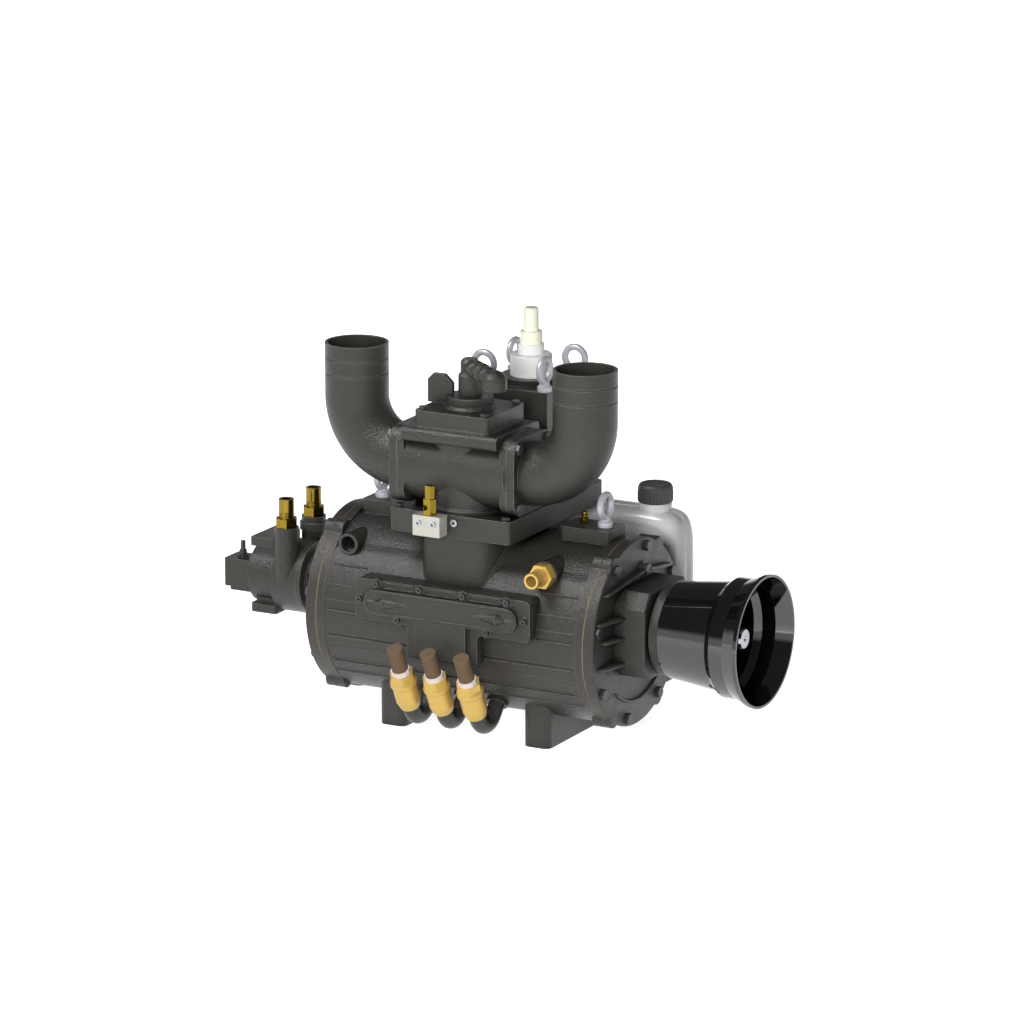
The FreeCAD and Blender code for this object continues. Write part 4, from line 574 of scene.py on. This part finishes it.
# %% Manifold rims
BEAD_SUNK = 0.0006
MANIFOLD_EDGE = dict(half=0.1335, low=0.2075, high=0.2415)
LIP_EDGE = dict(half=0.029, low=0.2475, high=0.2560)
LIP_MIDDLES = (-0.078, 0.0, 0.078)
MANIFOLD_FACE, LIP_FACE = -0.176, -0.168


def stadium(half, low, high, steps=200):
    """Spots and outward normals of a bar with round ends in the X-Z plane, evenly spaced.

    A centre runs to and fro between the two round ends while the normal (sin t, cos t) turns only
    at the ends; each spot is centre + radius * normal.
    """
    radius = (high - low) / 2
    straight = half - radius
    run, arc = 2 * straight, math.pi * radius
    s = np.linspace(0.0, 2 * (run + arc), steps, endpoint=False)
    turn = (np.clip(s - run, 0.0, arc) + np.clip(s - 2 * run - arc, 0.0, arc)) / radius
    centre = -straight + np.clip(s, 0.0, run) - np.clip(s - run - arc, 0.0, run)
    normals = np.column_stack([np.sin(turn), np.cos(turn)])
    return np.column_stack([centre, np.full(steps, (high + low) / 2)]) + radius * normals, normals


def rim(name, spots, normals, face_y, width, height):
    """A half-round bead: spot + normal * width * cos(b) across, height * sin(b) out of the face."""
    b = np.linspace(0.0, FULL_TURN, 16, endpoint=False)
    across = width * np.cos(b)
    out = np.where(np.sin(b) > 0, height * np.sin(b), BEAD_SUNK * np.sin(b))
    x = spots[:, None, 0] + normals[:, None, 0] * across
    z = spots[:, None, 1] + normals[:, None, 1] * across
    y = np.broadcast_to(face_y - out, x.shape)
    return grid_piece(name, np.stack([x, y, z], axis=-1), CASTING, loop=True)


rim("manifold_rim", *stadium(**MANIFOLD_EDGE), MANIFOLD_FACE, width=0.0018, height=0.0012)
lip_spots, lip_normals = stadium(**LIP_EDGE, steps=80)
for number, middle in enumerate(LIP_MIDDLES):
    rim(f"manifold_lip_{number + 1}", lip_spots + (middle, 0.0), lip_normals, LIP_FACE, width=0.0016,
        height=0.0020)
print("rims on the manifold:", 1 + len(LIP_MIDDLES))

# %% [markdown]
# ## The barrel and its outlines
# The forms below stand on the barrel or beside it, so they need two measures: the height of the
# barrel's surface at a point, z = axis + sqrt(R^2 - y^2), and the outward direction of an outline.

# %% Barrel measures
BARREL_RADIUS = 0.146
AXIS_HEIGHT = 0.183
LEAST_RISE = 0.02


def barrel_top(spots):
    """Height of the barrel's surface over points in the X-Y plane: axis + sqrt(R^2 - y^2)."""
    return AXIS_HEIGHT + np.sqrt(np.maximum(BARREL_RADIUS ** 2 - spots[:, 1] ** 2, LEAST_RISE ** 2))


def outline_normals(outline):
    """Outward unit normals of a closed outline, square to the line between each point's neighbours."""
    ahead = np.roll(outline, -1, axis=0) - np.roll(outline, 1, axis=0)
    normals = np.column_stack([ahead[:, 1], -ahead[:, 0]])
    return normals / np.linalg.norm(normals, axis=1, keepdims=True)


print("top of the barrel:", barrel_top(np.zeros((1, 2)))[0])

# %% [markdown]
# ## The port neck
# The neck rises from the barrel to the base plate. Where the two meet the pattern maker leaves a
# generous radius. The blend is a ring: at each point of the neck's outline it starts on the neck's
# wall, a height f above the barrel, and runs down a quarter circle that is tangent to both.

# %% Port neck and its blend
NECK_FOOT, NECK_TOP = 0.245, 0.3385
NECK_HALF_X, NECK_FRONT_Y, NECK_REAR_Y, NECK_POWER = 0.070, -0.136, 0.150, 5.0
BLEND_SIZE = 0.012
WALL_SUNK, BARREL_SUNK, FOOT_SUNK = 0.002, 0.0015, 0.006


def neck_outline(steps=160):
    """Superellipse in plan: |x/a|^n + |y/b|^n = 1."""
    t = np.linspace(0.0, FULL_TURN, steps, endpoint=False)
    k = superellipse(t, NECK_POWER)
    y = (NECK_FRONT_Y + NECK_REAR_Y) / 2 + k * np.sin(t) * (NECK_REAR_Y - NECK_FRONT_Y) / 2
    return np.column_stack([k * np.cos(t) * NECK_HALF_X, y])


def blend_ring(name, wall, size):
    """Quarter-circle fillet between an upright wall, given in plan, and the barrel.

    For t from 0 to a quarter turn: wall + normal * f (1 - cos t), barrel + f (1 - sin t).
    """
    normal = outline_normals(wall)
    rows = []
    for t in np.linspace(0.0, math.pi / 2, 10):
        spot = wall + normal * (size * (1.0 - math.cos(t)))
        rows.append(np.column_stack([spot, barrel_top(spot) + size * (1.0 - math.sin(t))]))
    outer = wall + normal * size
    sunk = wall - normal * WALL_SUNK
    rows.append(np.column_stack([outer, barrel_top(outer) - BARREL_SUNK]))
    rows.append(np.column_stack([sunk, barrel_top(wall) - FOOT_SUNK]))
    rows.append(np.column_stack([sunk, barrel_top(wall) + size]))
    return grid_piece(name, np.array(rows).transpose(1, 0, 2), CASTING, loop=True)


neck_wall = neck_outline()
neck_rows = [np.column_stack([neck_wall, np.full(len(neck_wall), z)]) for z in (NECK_FOOT, NECK_TOP)]
grid_piece("port_neck_form", np.array(neck_rows), CASTING)
blend_ring("neck_blend", neck_wall, BLEND_SIZE)
print("neck outline points:", len(neck_wall))

# %% [markdown]
# ## The barrel's skin
# Seen close, the barrel is almost flush with its end flanges. The skin is a sector of a tube on each
# side. Its radius swells from the plain barrel to the skin's with a smooth step, s = 3t^2 - 2t^3,
# near each edge of the sector.

# %% Barrel skin
SKIN_RADIUS = 0.1503
SKIN_FOOT, SKIN_INNER = BARREL_RADIUS - 0.0006, BARREL_RADIUS - 0.004
FLANGE_INNER = 0.2262
SKIN_LOW, SKIN_HIGH = -74.0, 52.0
EDGE_SHARE = 0.09


def about_barrel(x, radius, angle, side):
    """Points (x, side * r cos a, axis + r sin a): a is measured up from the level of the axis."""
    return np.stack(np.broadcast_arrays(x, side * radius * np.cos(angle),
                                        AXIS_HEIGHT + radius * np.sin(angle)), axis=-1)


def skin_sector(name, side, steps=140):
    """Tube sector on one side of the barrel, out along the skin and back along its inner face."""
    t = np.linspace(0.0, 1.0, steps)
    edge = np.clip(np.minimum(t, 1 - t) / EDGE_SHARE, 0.0, 1.0)
    radius = SKIN_FOOT + (SKIN_RADIUS - SKIN_FOOT) * (3 * edge ** 2 - 2 * edge ** 3)
    angle = np.radians(SKIN_LOW + (SKIN_HIGH - SKIN_LOW) * t)
    radius = np.concatenate([radius, np.full(steps, SKIN_INNER)])
    angle = np.concatenate([angle, angle[::-1]])
    ends = np.array([[-FLANGE_INNER], [FLANGE_INNER]])
    return grid_piece(name, about_barrel(ends, radius, angle, side), CASTING, thin=True, crease=30.0)


for label, side in (("front", -1.0), ("rear", 1.0)):
    skin_sector(f"{label}_skin", side)
print("skin length:", 2 * FLANGE_INNER)

# %% [markdown]
# ## Long ribs
# Four thin ribs run along each side of the barrel. In front the manifold interrupts the first three,
# so each of those is a left and a right piece. A rib is a half-round bead on the skin, and its ends
# get lower, so none ends in a cut face.

# %% Barrel ribs
RIB_WIDE, RIB_TALL, RIB_SUNK, RIB_END = 0.0034, 0.0026, 0.001, 0.222
RIB_ANGLES_AND_GAPS = [(32.5, 0.158), (4.0, 0.158), (-12.5, 0.062), (-31.0, 0.0)]


def long_rib(name, degrees, first, last, side, steps=40):
    """Radius R + tall * sin b, angle a + wide / 2R * cos b, both tapered by sqrt(1 - |s|^40)."""
    s = np.linspace(-1.0, 1.0, steps)[:, None]
    taper = np.sqrt(np.clip(1 - np.abs(s) ** 40, 0.04, 1.0))
    b = np.linspace(0.0, FULL_TURN, 12, endpoint=False)
    angle = math.radians(degrees) + RIB_WIDE / 2 / SKIN_RADIUS * np.cos(b) * taper
    radius = SKIN_RADIUS + np.where(np.sin(b) > 0, RIB_TALL, RIB_SUNK) * np.sin(b) * taper
    x = (first + last) / 2 + s * (last - first) / 2
    return grid_piece(name, about_barrel(x, radius, angle, side), CASTING)


for number, (degrees, gap) in enumerate(RIB_ANGLES_AND_GAPS):
    if gap:
        long_rib(f"left_front_rib_{number + 1}", degrees, -RIB_END, -gap, -1.0)
    long_rib(f"right_front_rib_{number + 1}", degrees, gap or -RIB_END, RIB_END, -1.0)
    long_rib(f"rear_rib_{number + 1}", degrees, -RIB_END, RIB_END, 1.0)
print("rib length behind:", 2 * RIB_END)

# %% [markdown]
# ## The drive end cover
# The drive cover is one casting: a lugged disc, an eight-sided bearing block, three short gussets
# on each side of it, two fins that run out from the plug's boss, and a raised arc below. The disc and
# the block are outlines in the plane across the shaft. The disc has two lugs above and two below, so
# its radius is the longest ray to the disc's own circle or to a lug's.

# %% Outlines across the shaft
SHAFT_HEIGHT = 0.197
LUG_TOP, LUG_BOTTOM, LUG_SPREAD = 90.0, 270.0, 31.0
DISC_RADIUS, LUG_REACH, LUG_RADIUS = 0.151, 0.145, 0.015


def lugged_disc(steps=360):
    """Longest ray to the disc or a lug: r(t) = c cos(d) + sqrt(q^2 - c^2 sin(d)^2)."""
    t = np.linspace(0.0, FULL_TURN, steps, endpoint=False)
    radius = np.full(steps, DISC_RADIUS)
    for middle in (LUG_TOP, LUG_BOTTOM):
        for lug in (middle - LUG_SPREAD, middle + LUG_SPREAD):
            d = t - math.radians(lug)
            under = LUG_RADIUS ** 2 - (LUG_REACH * np.sin(d)) ** 2
            ray = LUG_REACH * np.cos(d) + np.sqrt(np.maximum(under, 0.0))
            radius = np.where((under > 0) & (np.cos(d) > 0), np.maximum(radius, ray), radius)
    return np.column_stack([radius * np.cos(t), AXIS_HEIGHT + radius * np.sin(t)])


def rounded_polygon(corners, radius, steps=6):
    """Each corner becomes an arc: centre + radius * (cos, sin), between the normals of its two sides."""
    corners = np.asarray(corners, float)
    spots = []
    for k in range(len(corners)):
        before = corners[k] - corners[k - 1]
        after = corners[(k + 1) % len(corners)] - corners[k]
        first = math.atan2(-before[0], before[1])
        bend = (math.atan2(-after[0], after[1]) - first + math.pi) % FULL_TURN - math.pi
        before = before / np.linalg.norm(before)
        normal = np.array([before[1], -before[0]])
        centre = corners[k] - before * radius * math.tan(abs(bend) / 2) - normal * radius
        angle = first + np.linspace(0.0, bend, steps)
        spots.append(centre + radius * np.column_stack([np.cos(angle), np.sin(angle)]))
    return np.vstack(spots)


disc_outline = lugged_disc()
print("disc outline points:", len(disc_outline))

# %% [markdown]
# ## The disc and the bearing block
# Each outline is carried along X from its back to its face. Its front edge is rounded off by a
# quarter circle, and a round hole leaves room for the shaft, so the surface is a closed ring.

# %% Cover disc and bearing block
COVER_BACK, COVER_FACE, BLOCK_FACE = 0.241, 0.259, 0.313
SHAFT_HOLE, FACE_SUNK = 0.0365, 0.001
HALF_WIDE, HALF_TALL, BEVEL_Y, BEVEL_Z = 0.079, 0.070, 0.020, 0.026


def hub_plate(name, outline, back, face, soft):
    """A ring from back to face; front edge: outline - normal * f (1 - cos t), face - f (1 - sin t)."""
    normals = outline_normals(outline)
    middle = np.array([0.0, SHAFT_HEIGHT])
    toward = outline - middle
    hole = middle + toward / np.linalg.norm(toward, axis=1, keepdims=True) * SHAFT_HOLE
    rows = [(hole, back), (outline, back), (outline, face - soft)]
    for t in np.linspace(0.2, math.pi / 2, 5):
        rows.append((outline - normals * soft * (1 - math.cos(t)), face - soft * (1 - math.sin(t))))
    rows.append((hole, face))
    grid = np.array([np.column_stack([np.full(len(flat), x), flat]) for flat, x in rows])
    return grid_piece(name, grid, CASTING, loop=True)


cover_disc = hub_plate("cover_disc", disc_outline, COVER_BACK, COVER_FACE, soft=0.0025)
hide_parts("drive_end_cover")
quarter = np.array([(HALF_WIDE, HALF_TALL - BEVEL_Z), (HALF_WIDE - BEVEL_Y, HALF_TALL)])
eight = np.vstack([quarter, quarter[::-1] * (-1, 1), -quarter, quarter[::-1] * (1, -1)])
block_outline = rounded_polygon(eight, radius=0.004) + (0.0, SHAFT_HEIGHT)
hub_plate("bearing_block", block_outline, COVER_FACE - FACE_SUNK, BLOCK_FACE, soft=0.003)
print("block outline points:", len(block_outline))

# %% [markdown]
# ## Gussets and fins
# Short webs stiffen the bearing block from both sides, and two longer fins run out from the boss of
# the plug. Each is a bar with a rounded back that stands on the cover's face and gets lower outwards.

# %% Gussets and fins
GUSSET_FOOT = 0.075
GUSSETS = [(0.139, 0.226), (0.122, 0.193), (0.134, 0.152)]
PLUG_BOSS = (0.012, 0.284)
FINS = {"left_fin": (-0.116, 0.268), "right_fin": (0.108, 0.270)}


def gusset(name, start, end, tall, low, thick, steps=24):
    """A rounded bar on the cover's face from start to end in (y, z); its height falls from tall to low.

    Across: thick * sign(cos b) |cos b|^0.6, out of the face: height * (sin b)^0.5, for b from 0 to pi.
    """
    start, end = np.array(start), np.array(end)
    length = np.linalg.norm(end - start)
    along = (end - start) / length
    across = np.array([-along[1], along[0]])
    s = np.linspace(0.0, 1.0, steps)
    nose = np.sqrt(np.clip(1 - (2 * s - 1) ** 12, 0.02, 1.0))
    b = np.linspace(0.0, math.pi, 15)
    width = thick / 2 * np.sign(np.cos(b)) * np.abs(np.cos(b)) ** 0.6
    height = (tall + (low - tall) * s) * nose
    x = COVER_FACE + height[:, None] * np.sin(b) ** 0.5
    x[:, (0, -1)] = COVER_FACE - FACE_SUNK
    line = start + along * (s * length)[:, None]
    spots = line[:, None, :] + across * (width[None, :, None] * nose[:, None, None])
    return grid_piece(name, np.concatenate([x[:, :, None], spots], axis=2), CASTING)


for label, side in (("front", -1), ("rear", 1)):
    for number, (tip, height) in enumerate(GUSSETS):
        gusset(f"{label}_gusset_{number + 1}", (side * GUSSET_FOOT, height), (side * tip, height),
               tall=0.022, low=0.005, thick=0.0075)
for name, tip in FINS.items():
    gusset(name, PLUG_BOSS, tip, tall=0.014, low=0.009, thick=0.007)
print("gussets:", 2 * len(GUSSETS), "fins:", len(FINS))

# %% [markdown]
# ## The arc below the block
# A low raised arc runs round the lower part of the cover, about the barrel's axis. It is the same
# half-round bead as the barrel's ribs, laid on a flat face along a circle.

# %% Lower arc
ARC_RADIUS, ARC_WIDE, ARC_TALL, ARC_SUNK = 0.110, 0.006, 0.004, 0.001
ARC_LOW, ARC_HIGH = 228.0, 312.0


def face_arc(name, steps=60):
    """Radius R + wide / 2 * cos b, out of the face tall * sin b, both tapered by sqrt(1 - |s|^16)."""
    t = np.radians(np.linspace(ARC_LOW, ARC_HIGH, steps))[:, None]
    b = np.linspace(0.0, FULL_TURN, 12, endpoint=False)
    taper = np.sqrt(np.clip(1 - np.linspace(-1, 1, steps) ** 16, 0.03, 1.0))[:, None]
    radius = ARC_RADIUS + ARC_WIDE / 2 * np.cos(b) * taper
    x = COVER_FACE + np.where(np.sin(b) > 0, ARC_TALL, ARC_SUNK) * np.sin(b) * taper
    return grid_piece(name, about_barrel(x, radius, t, 1.0), CASTING)


face_arc("lower_arc")
print("arc sweep:", ARC_HIGH - ARC_LOW, "degrees")

# %% [markdown]
# ## The floor
# The picture has a white ground. The floor is a pale sheet that still takes the pump's shadow, and
# it glows for the camera and in reflections, so the white comes from its colour and not from more
# light on the pump. What it sends up as light is greyer, so the undersides stay dark.

# %% Floor
FLOOR_HALF, FLOOR_DROP = 60.0, 0.0005
FLOOR_SEEN, FLOOR_BOUNCE, FLOOR_GLOW = 0.92, 0.42, 0.87


def make_floor():
    """Diffuse grey, FLOOR_SEEN or FLOOR_BOUNCE by the kind of ray, plus a glow for what is seen."""
    edge = np.array([-FLOOR_HALF, FLOOR_HALF])
    x, y = np.meshgrid(edge, edge, indexing="ij")
    corners = np.stack([x, y, np.full_like(x, -FLOOR_DROP)], axis=-1).reshape(-1, 3)
    mesh = bpy.data.meshes.new("floor")
    mesh.from_pydata(corners.tolist(), [], [(0, 2, 3, 1)])
    floor = bpy.data.objects.new("floor", mesh)
    bpy.context.scene.collection.objects.link(floor)
    material = bpy.data.materials.new("floor_white")
    tree = empty_tree(material)
    out = add(tree, "ShaderNodeOutputMaterial")
    paint = add(tree, "ShaderNodeBsdfDiffuse")
    tone = add(tree, "ShaderNodeMix", data_type="RGBA",
               values={"A": opaque([FLOOR_SEEN] * 3), "B": opaque([FLOOR_BOUNCE] * 3)})
    glow = add(tree, "ShaderNodeEmission", values={"Color": opaque([1.0] * 3)})
    path = add(tree, "ShaderNodeLightPath")
    first = add(tree, "ShaderNodeMath", operation="MAXIMUM")
    seen = add(tree, "ShaderNodeMath", operation="MULTIPLY", values={1: FLOOR_GLOW})
    both = add(tree, "ShaderNodeAddShader")
    wire(tree, path, "Is Camera Ray", first, 0)
    wire(tree, path, "Is Glossy Ray", first, 1)
    wire(tree, path, "Is Diffuse Ray", tone, "Factor")
    wire(tree, tone, "Result", paint, "Color")
    wire(tree, first, "Value", seen, 0)
    wire(tree, seen, "Value", glow, "Strength")
    wire(tree, paint, "BSDF", both, 0)
    wire(tree, glow, "Emission", both, 1)
    wire(tree, both, "Shader", out, "Surface")
    mesh.materials.append(material)
    return floor


floor = make_floor()
print("floor corners:", len(floor.data.vertices))

# %% [markdown]
# ## The backdrop
# The world is white to the camera and through glass, and faint as a light. Reflections see it white
# near the horizon, like the backdrop, and dark higher up, like a studio's ceiling: that is what turns
# the tops of black castings and the upper half of the glossy guard nearly black.

# %% World
AMBIENT = 0.14
CEILING_START, CEILING_END, CEILING_LEVEL = 0.08, 0.24, 0.08


def make_world():
    """Strength 1 to the camera and through glass, AMBIENT as a light.

    In reflections it falls from 1 at the horizon to CEILING_LEVEL above, by a smooth step of Z.
    """
    world = bpy.data.worlds.new("studio")
    bpy.context.scene.world = world
    tree = empty_tree(world)
    out = add(tree, "ShaderNodeOutputWorld")
    sky = add(tree, "ShaderNodeBackground", values={"Color": opaque([1.0] * 3)})
    path = add(tree, "ShaderNodeLightPath")
    place = add(tree, "ShaderNodeTexCoord")
    split = add(tree, "ShaderNodeSeparateXYZ")
    ceiling = add(tree, "ShaderNodeMapRange", interpolation_type="SMOOTHSTEP",
                  values={"From Min": CEILING_START, "From Max": CEILING_END, "To Min": 1.0,
                          "To Max": CEILING_LEVEL})
    shown = add(tree, "ShaderNodeMath", operation="MAXIMUM")
    direct = add(tree, "ShaderNodeMix", data_type="FLOAT", values={"A": AMBIENT, "B": 1.0})
    level = add(tree, "ShaderNodeMix", data_type="FLOAT")
    wire(tree, path, "Is Camera Ray", shown, 0)
    wire(tree, path, "Is Transmission Ray", shown, 1)
    wire(tree, shown, "Value", direct, "Factor")
    wire(tree, place, "Generated", split, "Vector")
    wire(tree, split, "Z", ceiling, "Value")
    wire(tree, path, "Is Glossy Ray", level, "Factor")
    wire(tree, direct, "Result", level, "A")
    wire(tree, ceiling, "Result", level, "B")
    wire(tree, level, "Result", sky, "Strength")
    wire(tree, sky, "Background", out, "Surface")


make_world()
print("backdrop:", bpy.context.scene.world.name)

# %% [markdown]
# ## The lamps
# Colour and sheen come from different lamps. The key stands near the camera and lights only the
# colour, so no white spot of it shows on the glossy guard; the left and back lamps do the same. The
# gloss lamp hangs high on the left and gives only sheen: it picks out the sand grain on surfaces that
# lean back about forty degrees. A photographer would hold a black card between it and the glossy
# guard; light linking does the same.

# %% Lamps
LAMP_TARGET = np.array([0.0, 0.0, 0.3])
COLOUR_LAMPS = [("key", (1.0, -3.0, 1.25), 108.0, 0.9), ("left", (-3.0, -1.2, 1.0), 16.0, 1.2),
                ("back", (-0.8, 3.2, 1.3), 40.0, 1.6)]


def area_lamp(name, place, power, size):
    """A square soft box that faces LAMP_TARGET; power in watts, size the length of its side."""
    data = bpy.data.lights.new(name, "AREA")
    data.energy = power
    data.size = size
    lamp = bpy.data.objects.new(name, data)
    bpy.context.scene.collection.objects.link(lamp)
    lamp.location = place
    toward = LAMP_TARGET - np.array(place)
    flat = math.hypot(toward[0], toward[1])
    lamp.rotation_euler = (math.atan2(flat, -toward[2]), 0.0, math.atan2(-toward[0], toward[1]))
    return lamp


for name, place, power, size in COLOUR_LAMPS:
    area_lamp(name, place, power, size).visible_glossy = False
gloss = area_lamp("gloss", (-1.2, -1.5, 3.0), power=130.0, size=1.6)
gloss.visible_diffuse = False
flagged = bpy.data.collections.new("flagged_from_gloss")
flagged.objects.link(nodes["shaft_guard"])
flagged.collection_objects[0].light_linking.link_state = "EXCLUDE"
gloss.light_linking.receiver_collection = flagged

# %% [markdown]
# ## Finish
# The picture is shown as it is computed, with no film curve.

# %% Finish
bpy.context.scene.view_settings.view_transform = "Standard"
